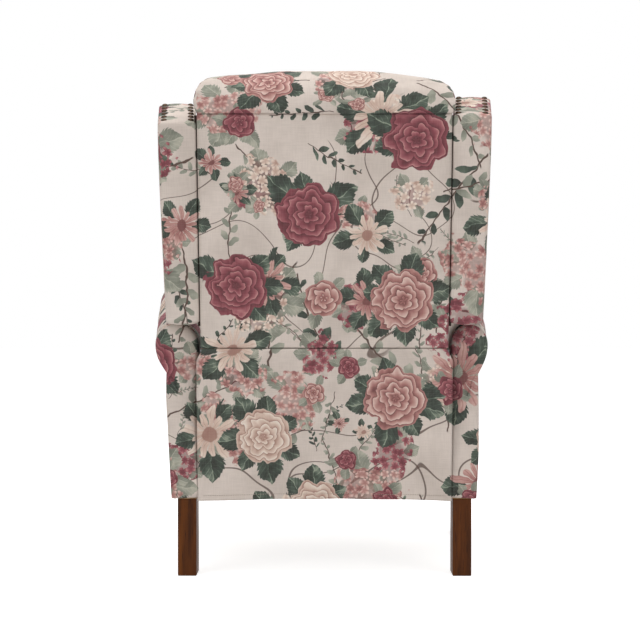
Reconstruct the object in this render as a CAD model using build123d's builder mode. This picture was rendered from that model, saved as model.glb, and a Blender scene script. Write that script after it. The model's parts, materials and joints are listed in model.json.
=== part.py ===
from build123d import *
import math
import os

# Push-back wing recliner with rolled arms: +Z up, the sitter faces -Y, +X is the sitter's left.
# The base frame stays still; the back tips about two shoulder bolts, pins on its brackets push
# the seat forward, and the moving seat opens two scissor linkages that carry the footrest.

# Clearances and stock
SEAT_GAP = 0.3
RUN_GAP = 0.06
PLY = 18.0
STEEL = 3.0

# Sizes that the rest follows: floor to frame, half the back's width, front and rear of the frame
LEG_HEIGHT = 165.0
BACK_HALF = 259.0
PANEL_FRONT_Y = -375.0
PANEL_REAR_Y = 261.0

# Legs and base
ARM_IN = BACK_HALF + 7.0
PANEL_IN = ARM_IN + 14.0
PANEL_OUT = PANEL_IN + PLY
PANEL_TOP_FRONT = LEG_HEIGHT + 423.0
PANEL_TOP_REAR = LEG_HEIGHT + 337.0
LEG_WIDTH = 40.0
LEG_DEPTH = 62.0
LEG_BOLT_R = 4.0
LEG_BOLT_REACH = 35.0
FRONT_LEG_X = ARM_IN + 75.0
FRONT_LEG_Y = PANEL_FRONT_Y + 2.0 + LEG_DEPTH / 2
REAR_LEG_X = PANEL_IN + 12.0
REAR_LEG_Y = PANEL_REAR_Y - LEG_DEPTH / 2
SILL_HEIGHT = 44.0
RAIL_HEIGHT = 70.0
RAIL_THICK = 24.0
STRETCHER_Y = PANEL_FRONT_Y + 179.0
STRETCHER_HEIGHT = 30.0
CORNER_WIDTH = 40.0
CORNER_DEPTH = 45.0

# Arms
ARM_FRONT_Y = PANEL_FRONT_Y - 4.0
ARM_REAR_Y = PANEL_REAR_Y + 5.0
ARM_SKIRT_Z = LEG_HEIGHT + 233.0
ROLL_R_FRONT = 70.0
ROLL_R_REAR = 43.0
ROLL_DROP = 1.25
ROLL_Z_FRONT = PANEL_TOP_FRONT - 16.0
ROLL_Z_REAR = PANEL_TOP_REAR - 9.0
ARM_SIDE_FRONT = ARM_IN + 106.0
ARM_SIDE_REAR = ARM_IN + 64.0
ARM_FOOT_FRONT = ARM_IN + 100.0
ARM_FOOT_REAR = ARM_IN + 57.0
SKIRT_THICK = 12.0
FACING_THICK = 11.0
REAR_FACING_THICK = 6.0

# Back, in its own leaning frame: x across, y rearward, z up along the back, zero at the rear seam
BACK_LEAN = 11.5
SEAM_Y = PANEL_REAR_Y + 53.0
SEAM_Z = LEG_HEIGHT + 321.0
BACK_TOP_SEAM = 477.0
BACK_BOTTOM = -45.0
BACK_PANEL_THICK = 12.0
BACK_FRAME_REAR = -BACK_PANEL_THICK - SEAT_GAP
BACK_FRAME_THICK = 38.0
BACK_FRAME_FRONT = BACK_FRAME_REAR - BACK_FRAME_THICK
STILE_OUT = BACK_HALF - 3.0
STILE_WIDTH = 42.0
STILE_IN = STILE_OUT - STILE_WIDTH
BACK_RAIL = 40.0
WEB_THICK = 2.0
WEB_WIDTH = 50.0
WEB_LEVELS = (0.147, 0.314, 0.608, 0.776)
WEB_COLUMNS = (-0.654, 0.0, 0.654)
BACK_PAD_REAR = BACK_FRAME_FRONT - 2 * WEB_THICK - SEAT_GAP
BACK_PAD_HALF = STILE_OUT - 2 * SEAT_GAP
BACK_PAD_FRONT = BACK_PAD_REAR - 87.4
BACK_PAD_TOP = BACK_TOP_SEAM - 48.0
HEAD_RISE = 89.0
HEAD_TOP = BACK_TOP_SEAM + HEAD_RISE
HEAD_END = BACK_TOP_SEAM + 0.652 * HEAD_RISE
HEAD_CREST_Y = -64.0
HEAD_REAR_Y = -22.0

# Wings, in planes that flare outward toward the front
WING_FLARE = 5.0
WING_ROOT = BACK_HALF + 0.8
WING_SETBACK = -7.0
WING_THICK = 78.0
WING_TAPER = 9.0
WING_PANEL_THICK = 8.0
WING_BOTTOM = 51.0
WING_TOP_REAR = BACK_TOP_SEAM
WING_TOP_FRONT = BACK_TOP_SEAM + 22.0
WING_REACH_TOP = 240.0
WING_REACH_BOTTOM = 140.0
WING_BEND_HIGH = WING_BOTTOM + 0.655 * (WING_TOP_REAR - WING_BOTTOM)
WING_BEND_LOW = WING_BOTTOM + 0.2324 * (WING_TOP_REAR - WING_BOTTOM)
WING_CURVES = (56.0, 170.0, 130.0)
WING_RIM_R = 8.0
WING_PLATE_IN = 20.0
WING_PLATE_EDGE = 18.0

# Seat
SEAT_RAIL_OUT = BACK_HALF - 37.0
SEAT_RAIL_THICK = 22.0
SEAT_RAIL_FRONT = PANEL_FRONT_Y + 34.0
SEAT_RAIL_REAR = PANEL_REAR_Y - 87.0
SEAT_RAIL_Z = LEG_HEIGHT + 180.0
SEAT_RAIL_HEIGHT = 50.0
SEAT_RAIL_TOP = SEAT_RAIL_Z + SEAT_RAIL_HEIGHT
SPRING_WIRE_R = 2.0
SPRING_TURNS = 7
SPRING_SWING = 20.0
DECK_THICK = 3.0
DECK_Z = SEAT_RAIL_TOP + 2 * SPRING_WIRE_R
SEAT_PAD_Z = DECK_Z + DECK_THICK
SEAT_PAD_TOP = SEAT_PAD_Z + 84.0
SEAT_CROWN = 14.0
SEAT_PAD_HALF = ARM_IN - 5.0
SEAT_PAD_FRONT = SEAT_RAIL_FRONT - 1.0
SEAT_PAD_REAR = SEAT_RAIL_REAR + 12.0

# Recline pivot and the pins that push the seat
RECLINE = 35.0
PIVOT_Y = PANEL_REAR_Y - 24.0
PIVOT_Z = SEAM_Z - 16.0
PIVOT_R = 6.0

# Scissor linkage, in the vertical plane of travel
LINK_HALF = 96.0
LINK_REST = 83.0
LINK_SWEEP = 70.0
LINK_SLOPE = 20.0
LINK_Y = SEAT_RAIL_FRONT + 63.0
LINK_Z = SEAT_RAIL_Z - 145.0
LINK_R = 10.0
PIN_R = 4.0
PIN_HEAD_R = 6.5
PIN_HEAD = 1.5
TAIL_ARM = 34.0
TAIL_R = 5.0
CAM_ARM = 17.5
CAM_GAP = 3.9
BRACKET_X = SEAT_RAIL_OUT + STEEL + 2.0
INNER_X = BRACKET_X + STEEL + 2.0
OUTER_X = INNER_X + STEEL + 2.0
SEAT_TRAVEL = 2 * TAIL_ARM * math.sin(math.radians(LINK_SWEEP / 2))
DRIVE_ARM = SEAT_TRAVEL / (2 * math.sin(math.radians(RECLINE / 2)))

# Glide tracks
TRACK_Z = SEAT_RAIL_Z + SEAT_RAIL_HEIGHT / 2
TRACK_IN = 24.0
TRACK_DEPTH = 18.0
TRACK_FRONT = STRETCHER_Y + 25.0
TRACK_REAR = SEAT_RAIL_REAR - 55.0
GLIDE_LENGTH = 40.0
GLIDE_Y = (TRACK_FRONT + 75.0, TRACK_REAR - 35.0)
GLIDE_GAP = 0.5
GUIDE_WIDTH = 44.0
GUIDE_HEIGHT = 36.0
GUIDE_FLANGE = 40.0

# Footrest
FOOT_HALF = ARM_IN - 10.0
FOOT_BOTTOM = LINK_Z - 20.0
FOOT_HEIGHT = 250.0
FOOT_TOP = FOOT_BOTTOM + FOOT_HEIGHT
FOOT_FRONT = SEAT_RAIL_FRONT - 75.0
FOOT_THICK = 56.0
FOOT_BOARD = 12.0
FOOT_BOARD_HALF = FOOT_HALF - 20.0

# Rear flap
FLAP_HALF_TOP = BACK_HALF - 5.0
FLAP_HALF = ARM_IN + 2.0
FLAP_BOTTOM = LEG_HEIGHT - 2.0
FLAP_FOOT_Y = PANEL_REAR_Y + 16.0
FLAP_THICK = 3.0
FLAP_CORNER = 26.0
FLAP_HEM_RISE = 8.0

os.makedirs("parts", exist_ok=True)

SIDES = (1, -1)
LEAN = math.radians(BACK_LEAN)
FLARE = math.radians(WING_FLARE)


def side_name(sign):
    return "left" if sign > 0 else "right"


def save(builder, label):
    builder.part.label = label
    export_step(builder.part, f"parts/{label}.step")


def side_plane(sign, inner, thick):
    """Vertical fore-and-aft plane from which +X extrusion fills |x| = inner .. inner + thick."""
    return Plane.YZ.offset(inner if sign > 0 else -inner - thick)


def across(y):
    """Vertical plane across the chair at depth y, sketched as (x, z)."""
    return Plane.XZ.offset(-y)


def back_vector(x, y, z):
    return Vector(
        x,
        y * math.cos(LEAN) + z * math.sin(LEAN),
        z * math.cos(LEAN) - y * math.sin(LEAN),
    )


def back_point(x, y, z):
    return Vector(0, SEAM_Y, SEAM_Z) + back_vector(x, y, z)


def back_level(z):
    """Plane square to the back at height z, sketched as (x, y)."""
    return Plane(origin=back_point(0, 0, z), x_dir=(1, 0, 0), z_dir=back_vector(0, 0, 1))


def back_side(x):
    """Plane along the back at |x|, sketched as (y, z), normal +X."""
    return Plane(origin=back_point(x, 0, 0), x_dir=back_vector(0, 1, 0), z_dir=(1, 0, 0))


def back_face(y):
    """Plane parallel to the back at depth y, sketched as (x, z), normal to the front."""
    return Plane(origin=back_point(0, y, 0), x_dir=(1, 0, 0), z_dir=back_vector(0, -1, 0))


def wing_plane(sign, out):
    """Flared plane of a wing at distance out from its inner face, sketched as (forward, up)."""
    return Plane(
        origin=back_point(
            sign * (WING_ROOT + out * math.cos(FLARE)), WING_SETBACK + out * math.sin(FLARE), 0
        ),
        x_dir=back_vector(sign * math.sin(FLARE), -math.cos(FLARE), 0),
        z_dir=back_vector(-math.cos(FLARE), -sign * math.sin(FLARE), 0),
    )


def wing_taper(sign, inset):
    """Trim a wing so that its outer side draws in toward the bottom."""
    flat = wing_plane(sign, 0)
    outside = WING_THICK - inset
    with BuildSketch(
        Plane(origin=flat.origin - flat.x_dir * 20, x_dir=flat.z_dir * -sign, z_dir=flat.x_dir * sign)
    ) as wedge:
        with BuildLine() as edge:
            Polyline(
                (outside - WING_TAPER, WING_BOTTOM - 1),
                (outside + 5, WING_BOTTOM - 1),
                (outside + 5, WING_TOP_FRONT + 5),
                (outside, WING_TOP_FRONT + 5),
                close=True,
            )
        make_face(edge.edges())
    extrude(wedge.sketch, amount=sign * (WING_REACH_TOP + 60), mode=Mode.SUBTRACT)


def hull(rounds):
    """Sketch the hull of circles given as (y, z, radius)."""
    with BuildSketch(mode=Mode.PRIVATE) as shape:
        for y, z, radius in rounds:
            with Locations((y, z)):
                Circle(radius)
        make_hull()
    add(shape.sketch)


def plate(sign, inner, thick, hulls, holes):
    """Add a flat bar of one or more hulls with round holes, standing fore and aft."""
    with BuildSketch(side_plane(sign, inner, thick)) as outline:
        for rounds in hulls:
            hull(rounds)
        for y, z, radius in holes:
            with Locations((y, z)):
                Circle(radius, mode=Mode.SUBTRACT)
    extrude(outline.sketch, amount=thick)


def plate_pair(label, inner, thick, hulls, holes):
    """Save the left and right bars of one kind as a group."""
    with BuildPart() as pair:
        for sign in SIDES:
            plate(sign, inner, thick, hulls, holes)
    save(pair, label)


def cross_pin(sign, spot, inner, outer, radius):
    """Round bar along X between two distances from the middle plane."""
    with BuildSketch(side_plane(sign, inner, outer - inner)) as end:
        with Locations(spot):
            Circle(radius)
    extrude(end.sketch, amount=outer - inner)


def block(x0, x1, y0, y1, z0, z1):
    """Square block between the given faces."""
    with BuildSketch(Plane.XY.offset(z0)) as base:
        with Locations(((x0 + x1) / 2, (y0 + y1) / 2)):
            Rectangle(abs(x1 - x0), abs(y1 - y0))
    extrude(base.sketch, amount=z1 - z0)


def board(x0, x1, y0, y1, z0, z1):
    with BuildPart() as piece:
        block(x0, x1, y0, y1, z0, z1)
    return piece


def back_block(x0, x1, y0, y1, z0, z1):
    """Square block in the leaning frame of the back."""
    with BuildSketch(back_level(z0)) as base:
        with Locations(((x0 + x1) / 2, (y0 + y1) / 2)):
            Rectangle(abs(x1 - x0), abs(y1 - y0))
    extrude(base.sketch, amount=z1 - z0)


def back_board(x0, x1, y0, y1, z0, z1):
    with BuildPart() as piece:
        back_block(x0, x1, y0, y1, z0, z1)
    return piece


def at_depth(y, front, rear):
    """Value at depth y on a straight run between the front and rear ends of an arm."""
    share = (ARM_REAR_Y - y) / (ARM_REAR_Y - ARM_FRONT_Y)
    return rear + (front - rear) * share


# Legs with their hanger bolts
LEG_SPOTS = {
    "front": (FRONT_LEG_X, FRONT_LEG_Y),
    "rear": (REAR_LEG_X, REAR_LEG_Y),
}
for end, (leg_x, leg_y) in LEG_SPOTS.items():
    for sign in SIDES:
        with BuildPart() as leg:
            with BuildSketch():
                with Locations((sign * leg_x, leg_y)):
                    RectangleRounded(LEG_WIDTH, LEG_DEPTH, 2.0)
            extrude(amount=LEG_HEIGHT)
            chamfer(leg.faces().sort_by(Axis.Z)[0].edges(), 1.5)
            with BuildSketch(Plane.XY.offset(LEG_HEIGHT)):
                with Locations((sign * leg_x, leg_y)):
                    Circle(LEG_BOLT_R)
            extrude(amount=-LEG_BOLT_REACH, mode=Mode.SUBTRACT)
        save(leg, f"leg_{end}_{side_name(sign)}")

with BuildPart() as leg_bolts:
    with BuildSketch(Plane.XY.offset(LEG_HEIGHT - LEG_BOLT_REACH)):
        for leg_x, leg_y in LEG_SPOTS.values():
            with Locations((leg_x, leg_y), (-leg_x, leg_y)):
                Circle(LEG_BOLT_R)
    extrude(amount=2 * LEG_BOLT_REACH)
save(leg_bolts, "leg_bolts")


def sill_out(y):
    """Outer face of the sill under the arm skirt at depth y."""
    return at_depth(y, ARM_FOOT_FRONT, ARM_FOOT_REAR) - SKIRT_THICK - SEAT_GAP


def panel_top(y):
    share = (PANEL_REAR_Y - y) / (PANEL_REAR_Y - PANEL_FRONT_Y)
    return PANEL_TOP_REAR + (PANEL_TOP_FRONT - PANEL_TOP_REAR) * share


# Side panels: plywood with the bores for the recline bolt and the leg bolt
for sign in SIDES:
    with BuildPart() as side_panel:
        with BuildSketch(side_plane(sign, PANEL_IN, PLY)):
            with BuildLine():
                Polyline(
                    (PANEL_FRONT_Y, LEG_HEIGHT),
                    (PANEL_REAR_Y, LEG_HEIGHT),
                    (PANEL_REAR_Y, PANEL_TOP_REAR),
                    (PANEL_FRONT_Y, PANEL_TOP_FRONT),
                    close=True,
                )
            make_face()
            with Locations((PIVOT_Y, PIVOT_Z)):
                Circle(PIVOT_R, mode=Mode.SUBTRACT)
        extrude(amount=PLY)
        cross_sink = side_plane(sign, PANEL_OUT - 7, 7)
        with BuildSketch(cross_sink):
            with Locations((PIVOT_Y, PIVOT_Z)):
                Circle(2.1 * PIVOT_R)
        extrude(amount=7, mode=Mode.SUBTRACT)
        with BuildSketch(Plane.XY.offset(LEG_HEIGHT)):
            with Locations((sign * REAR_LEG_X, REAR_LEG_Y)):
                Circle(LEG_BOLT_R)
        extrude(amount=LEG_BOLT_REACH, mode=Mode.SUBTRACT)
    save(side_panel, f"side_panel_{side_name(sign)}")

# Arm sills: the bottom rail inside each arm that the front leg screws into
with BuildPart() as arm_sills:
    for sign in SIDES:
        with BuildSketch(Plane.XY.offset(LEG_HEIGHT)):
            with BuildLine():
                Polyline(
                    (sign * PANEL_OUT, PANEL_FRONT_Y),
                    (sign * sill_out(PANEL_FRONT_Y), PANEL_FRONT_Y),
                    (sign * sill_out(PANEL_REAR_Y), PANEL_REAR_Y),
                    (sign * PANEL_OUT, PANEL_REAR_Y),
                    close=True,
                )
            make_face()
            with Locations((sign * FRONT_LEG_X, FRONT_LEG_Y)):
                Circle(LEG_BOLT_R, mode=Mode.SUBTRACT)
        extrude(amount=SILL_HEIGHT)
save(arm_sills, "arm_sills")

save(
    board(
        -PANEL_IN, PANEL_IN, PANEL_REAR_Y - RAIL_THICK, PANEL_REAR_Y,
        LEG_HEIGHT, LEG_HEIGHT + RAIL_HEIGHT,
    ),
    "rear_rail",
)
save(
    board(
        -PANEL_IN, PANEL_IN, STRETCHER_Y, STRETCHER_Y + RAIL_THICK,
        LEG_HEIGHT, LEG_HEIGHT + STRETCHER_HEIGHT,
    ),
    "front_stretcher",
)

with BuildPart() as corner_blocks:
    for sign in SIDES:
        for y0, y1 in (
            (PANEL_REAR_Y - RAIL_THICK - CORNER_DEPTH, PANEL_REAR_Y - RAIL_THICK),
            (STRETCHER_Y + RAIL_THICK, STRETCHER_Y + RAIL_THICK + CORNER_DEPTH),
        ):
            block(
                sign * (PANEL_IN - CORNER_WIDTH), sign * PANEL_IN, y0, y1,
                LEG_HEIGHT, LEG_HEIGHT + STRETCHER_HEIGHT,
            )
save(corner_blocks, "corner_blocks")


def arm_section(sign, y, radius, roll_z, side, foot, slot_top):
    """Cross-section of an arm: a roll over a skirted side, hooked over panel and sill."""
    roll_x = ARM_IN + radius
    neck = math.acos((side - roll_x) / radius)
    sag = ROLL_DROP * radius / math.sin(neck)

    def rim(angle):
        return (sign * (roll_x + radius * math.cos(angle)), roll_z + radius * math.sin(angle))

    def under(angle):
        return (sign * (roll_x + radius * math.cos(angle)), roll_z - sag * math.sin(angle))

    inner_slot = PANEL_IN - SEAT_GAP
    outer_slot = PANEL_OUT + SEAT_GAP
    sill = foot - SKIRT_THICK
    with BuildSketch(across(y)) as section:
        with BuildLine():
            Polyline(
                (sign * sill, LEG_HEIGHT),
                (sign * sill, LEG_HEIGHT + SILL_HEIGHT + SEAT_GAP),
                (sign * outer_slot, LEG_HEIGHT + SILL_HEIGHT + SEAT_GAP),
                (sign * outer_slot, slot_top),
                (sign * inner_slot, slot_top),
                (sign * inner_slot, ARM_SKIRT_Z),
                (sign * ARM_IN, ARM_SKIRT_Z),
                rim(math.pi),
            )
            ThreePointArc(rim(math.pi), rim(0.75 * math.pi), rim(math.pi / 2))
            ThreePointArc(rim(math.pi / 2), rim(math.pi / 4), rim(0))
            ThreePointArc(rim(0), under(neck / 2), under(neck))
            Polyline(under(neck), (sign * foot, LEG_HEIGHT), (sign * sill, LEG_HEIGHT))
        make_face()
    return section.sketch.faces()[0]


for sign in SIDES:
    with BuildPart() as arm_pad:
        front_end = arm_section(
            sign, ARM_FRONT_Y, ROLL_R_FRONT, ROLL_Z_FRONT, ARM_SIDE_FRONT, ARM_FOOT_FRONT,
            panel_top(ARM_FRONT_Y) + SEAT_GAP,
        )
        rear_end = arm_section(
            sign, ARM_REAR_Y, ROLL_R_REAR, ROLL_Z_REAR, ARM_SIDE_REAR, ARM_FOOT_REAR,
            panel_top(ARM_REAR_Y) + SEAT_GAP,
        )
        loft([front_end, rear_end], ruled=True)
        with BuildSketch(side_plane(sign, ARM_IN - 1, PANEL_IN - ARM_IN + 1)):
            with Locations((PIVOT_Y, PIVOT_Z)):
                Circle(2 * PIVOT_R)
        extrude(amount=PANEL_IN - ARM_IN + 1, mode=Mode.SUBTRACT)
    save(arm_pad, f"arm_pad_{side_name(sign)}")


def facing_board(sign, y, thick, radius, roll_z, side, foot, inset):
    """Padded scroll board over one end of an arm, filling forward from depth y by thick."""
    centre = ARM_IN + radius
    neck = math.acos((side - centre) / radius)
    sag = ROLL_DROP * radius / math.sin(neck) - inset
    reach = radius - inset

    def rim(angle):
        return (sign * (centre + reach * math.cos(angle)), roll_z + reach * math.sin(angle))

    def under(angle):
        return (sign * (centre + reach * math.cos(angle)), roll_z - sag * math.sin(angle))

    with BuildPart() as facing:
        with BuildSketch(across(y)):
            with BuildLine():
                Line((sign * (ARM_IN + inset), LEG_HEIGHT + inset), rim(math.pi))
                ThreePointArc(rim(math.pi), rim(0.75 * math.pi), rim(math.pi / 2))
                ThreePointArc(rim(math.pi / 2), rim(math.pi / 4), rim(0))
                ThreePointArc(rim(0), under(neck / 2), under(neck))
                Polyline(
                    under(neck),
                    (sign * (foot - inset), LEG_HEIGHT + inset),
                    (sign * (ARM_IN + inset), LEG_HEIGHT + inset),
                )
            make_face()
        extrude(amount=thick)
    return facing


# Arm facings close the front of each arm, thinner ones the rear
for sign in SIDES:
    facing = facing_board(
        sign, ARM_FRONT_Y - SEAT_GAP, FACING_THICK,
        ROLL_R_FRONT, ROLL_Z_FRONT, ARM_SIDE_FRONT, ARM_FOOT_FRONT, 2,
    )
    with facing:
        chamfer(facing.faces().sort_by(Axis.Y)[0].edges(), 2.5)
    save(facing, f"arm_facing_{side_name(sign)}")
    save(
        facing_board(
            sign, ARM_REAR_Y + SEAT_GAP + REAR_FACING_THICK, REAR_FACING_THICK,
            ROLL_R_REAR, ROLL_Z_REAR, ARM_SIDE_REAR, ARM_FOOT_REAR, 1,
        ),
        f"arm_rear_facing_{side_name(sign)}",
    )

# Glide tracks screwed to the side panels
with BuildPart() as glide_tracks:
    for sign in SIDES:
        with BuildSketch(across(TRACK_REAR)):
            with BuildLine():
                half = TRACK_IN / 2
                Polyline(
                    (sign * PANEL_IN, TRACK_Z - half - STEEL),
                    (sign * (PANEL_IN - TRACK_DEPTH), TRACK_Z - half - STEEL),
                    (sign * (PANEL_IN - TRACK_DEPTH), TRACK_Z - half),
                    (sign * (PANEL_IN - STEEL), TRACK_Z - half),
                    (sign * (PANEL_IN - STEEL), TRACK_Z + half),
                    (sign * (PANEL_IN - TRACK_DEPTH), TRACK_Z + half),
                    (sign * (PANEL_IN - TRACK_DEPTH), TRACK_Z + half + STEEL),
                    (sign * PANEL_IN, TRACK_Z + half + STEEL),
                    close=True,
                )
            make_face()
        extrude(amount=TRACK_REAR - TRACK_FRONT)
save(glide_tracks, "glide_tracks")


def along(forward, up):
    """Point (y, z) in the linkage plane, measured along and square to the sloping travel."""
    slope = math.radians(LINK_SLOPE)
    return (
        LINK_Y - forward * math.cos(slope) + up * math.sin(slope),
        LINK_Z + forward * math.sin(slope) + up * math.cos(slope),
    )


# Linkage points at rest
REST = math.radians(LINK_REST)
STEP = LINK_HALF * math.cos(REST)
RISE = LINK_HALF * math.sin(REST)
HEEL = along(0, 0)
SLIDER = along(0, 2 * RISE)
FIRST_CROSS = along(STEP, RISE)
UPPER_KNEE = along(2 * STEP, 2 * RISE)
LOWER_KNEE = along(2 * STEP, 0)
SECOND_CROSS = along(3 * STEP, RISE)
TOE = along(4 * STEP, 0)
TAIL = (
    HEEL[0] - TAIL_ARM * math.sin(math.radians(LINK_SWEEP / 2)),
    HEEL[1] - TAIL_ARM * math.cos(math.radians(LINK_SWEEP / 2)),
)
CAM_TURN = math.radians(LINK_SWEEP - LINK_REST)
CAM = along(3 * STEP + CAM_ARM * math.cos(CAM_TURN), RISE + CAM_ARM * math.sin(CAM_TURN))
SLIDER_END = along(0, 2 * LINK_HALF * math.sin(math.radians(LINK_REST - LINK_SWEEP)))
DRIVE = (
    PIVOT_Y + DRIVE_ARM * math.sin(math.radians(RECLINE / 2)),
    PIVOT_Z - DRIVE_ARM * math.cos(math.radians(RECLINE / 2)),
)


def slot(sign, inner, thick, start, end, radius):
    """Cut a straight round-ended slot through a standing plate."""
    with BuildSketch(side_plane(sign, inner, thick)) as opening:
        hull(((*start, radius), (*end, radius)))
    extrude(opening.sketch, amount=thick, mode=Mode.SUBTRACT)


# Slotted drive brackets on the side panels: they hold the drive rod back as the seat moves forward
GUIDE_X = OUTER_X + STEEL + 5
tail_low = HEEL[1] - TAIL_ARM
guide_z = (tail_low + TAIL[1]) / 2
guide_rear = TAIL[0] + GUIDE_WIDTH / 2
with BuildPart() as drive_guides:
    for sign in SIDES:
        with BuildSketch(side_plane(sign, GUIDE_X, STEEL)):
            with Locations((TAIL[0], guide_z)):
                Rectangle(GUIDE_WIDTH, GUIDE_HEIGHT)
        extrude(amount=STEEL)
        block(
            sign * (GUIDE_X + STEEL), sign * PANEL_IN, guide_rear - STEEL, guide_rear,
            LEG_HEIGHT, guide_z + GUIDE_HEIGHT / 2,
        )
        block(
            sign * (PANEL_IN - STEEL), sign * PANEL_IN, guide_rear, guide_rear + GUIDE_FLANGE,
            LEG_HEIGHT, guide_z + GUIDE_HEIGHT / 2,
        )
        slot(
            sign, GUIDE_X, STEEL, (TAIL[0], tail_low - 1), (TAIL[0], TAIL[1] + 1), TAIL_R + 0.8,
        )
save(drive_guides, "drive_guides")

# Recline shoulder bolts through the side panels, their collars keeping the back off the arms
BRACKET_BACK_X = STILE_OUT
with BuildPart() as recline_bolts:
    spot = (PIVOT_Y, PIVOT_Z)
    for sign in SIDES:
        cross_pin(sign, spot, BRACKET_BACK_X - 0.2, PANEL_OUT, PIVOT_R)
        cross_pin(sign, spot, BRACKET_BACK_X + STEEL + SEAT_GAP, PANEL_IN, 1.7 * PIVOT_R)
        cross_pin(sign, spot, PANEL_OUT - 6.8, PANEL_OUT, 2 * PIVOT_R)
save(recline_bolts, "recline_bolts")

# Rear flap of loose cloth below the back, held to the rear rail by a hook strip
flap_run = math.hypot(SEAM_Z - FLAP_BOTTOM, SEAM_Y - FLAP_FOOT_Y)
flap_up = Vector(0, SEAM_Y - FLAP_FOOT_Y, SEAM_Z - FLAP_BOTTOM).normalized()
flap_plane = Plane(
    origin=(0, FLAP_FOOT_Y, FLAP_BOTTOM), x_dir=(1, 0, 0), z_dir=flap_up.cross(Vector(1, 0, 0)) * -1
)
with BuildPart() as rear_flap:
    with BuildSketch(flap_plane):
        with BuildLine():
            shoulder = flap_run - FLAP_CORNER
            Polyline((-FLAP_HALF_TOP, flap_run), (-FLAP_HALF, shoulder), (-FLAP_HALF, 0))
            ThreePointArc((-FLAP_HALF, 0), (0, FLAP_HEM_RISE), (FLAP_HALF, 0))
            Polyline(
                (FLAP_HALF, 0), (FLAP_HALF, shoulder), (FLAP_HALF_TOP, flap_run), (-FLAP_HALF_TOP, flap_run),
            )
        make_face()
    extrude(amount=FLAP_THICK)
save(rear_flap, "rear_flap")

hook_low = LEG_HEIGHT + 12
hook_rear = FLAP_FOOT_Y + (hook_low - FLAP_BOTTOM) * flap_up.Y / flap_up.Z - FLAP_THICK / flap_up.Z - SEAT_GAP
save(
    board(-PANEL_IN + 30, PANEL_IN - 30, PANEL_REAR_Y, hook_rear, hook_low, hook_low + 25),
    "hook_strip",
)

# Back frame
with BuildPart() as back_stiles:
    for sign in SIDES:
        back_block(
            sign * STILE_IN, sign * STILE_OUT, BACK_FRAME_FRONT, BACK_FRAME_REAR,
            BACK_BOTTOM, BACK_TOP_SEAM - SEAT_GAP,
        )
save(back_stiles, "back_stiles")
for label, z0 in (
    ("back_bottom_rail", BACK_BOTTOM),
    ("back_middle_rail", 0.45 * BACK_TOP_SEAM),
    ("back_top_rail", BACK_TOP_SEAM - SEAT_GAP - BACK_RAIL),
):
    save(
        back_board(-STILE_IN, STILE_IN, BACK_FRAME_FRONT, BACK_FRAME_REAR, z0, z0 + BACK_RAIL),
        label,
    )

# Webbing straps in two layers on the front of the back frame
with BuildPart() as back_webbing:
    web_half = STILE_OUT - STILE_WIDTH / 2
    for level in WEB_LEVELS:
        z = level * BACK_TOP_SEAM
        back_block(-web_half, web_half, BACK_FRAME_FRONT - WEB_THICK, BACK_FRAME_FRONT, z, z + WEB_WIDTH)
    for column in WEB_COLUMNS:
        x = column * STILE_IN
        back_block(
            x - WEB_WIDTH / 2, x + WEB_WIDTH / 2,
            BACK_FRAME_FRONT - 2 * WEB_THICK, BACK_FRAME_FRONT - WEB_THICK,
            BACK_BOTTOM + 8, BACK_TOP_SEAM - 10,
        )
save(back_webbing, "back_webbing")

with BuildPart() as back_outer_panel:
    with BuildSketch(back_face(-BACK_PANEL_THICK)):
        with Locations((0, BACK_TOP_SEAM / 2)):
            Rectangle(2 * BACK_HALF - 1, BACK_TOP_SEAM - 2 * SEAT_GAP)
    extrude(amount=-BACK_PANEL_THICK)
    fillet(back_outer_panel.faces().sort_by(Axis.Y)[-1].edges().filter_by(Axis.X, reverse=True), 4)
save(back_outer_panel, "back_outer_panel")

# Back cushion: bowed front with a lumbar swell, drawn in at its sides
with BuildPart() as back_cushion:
    with BuildSketch(back_side(-BACK_PAD_HALF)):
        with BuildLine():
            swell = BACK_PAD_FRONT
            Line((BACK_PAD_REAR, BACK_BOTTOM + 4), (swell + 26, BACK_BOTTOM + 4))
            lumbar = 0.187 * BACK_PAD_TOP
            waist = 0.466 * BACK_PAD_TOP
            chest = 0.723 * BACK_PAD_TOP
            ThreePointArc((swell + 26, BACK_BOTTOM + 4), (swell + 2, lumbar), (swell + 4, waist))
            ThreePointArc((swell + 4, waist), (swell + 5, chest), (swell + 22, BACK_PAD_TOP))
            Polyline(
                (swell + 22, BACK_PAD_TOP), (BACK_PAD_REAR, BACK_PAD_TOP), (BACK_PAD_REAR, BACK_BOTTOM + 4)
            )
        make_face()
    extrude(amount=2 * BACK_PAD_HALF)
    with BuildSketch(back_level(BACK_BOTTOM)):
        with BuildLine():
            edge = BACK_PAD_FRONT + 24
            ThreePointArc((-BACK_PAD_HALF, edge), (0, BACK_PAD_FRONT - 6), (BACK_PAD_HALF, edge))
            side = (edge + BACK_PAD_REAR) / 2
            ThreePointArc((BACK_PAD_HALF, edge), (BACK_PAD_HALF - 2, side), (BACK_PAD_HALF, BACK_PAD_REAR))
            Line((BACK_PAD_HALF, BACK_PAD_REAR), (-BACK_PAD_HALF, BACK_PAD_REAR))
            ThreePointArc((-BACK_PAD_HALF, BACK_PAD_REAR), (2 - BACK_PAD_HALF, side), (-BACK_PAD_HALF, edge))
        make_face()
    extrude(amount=BACK_PAD_TOP - BACK_BOTTOM, mode=Mode.INTERSECT)
save(back_cushion, "back_cushion")

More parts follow.
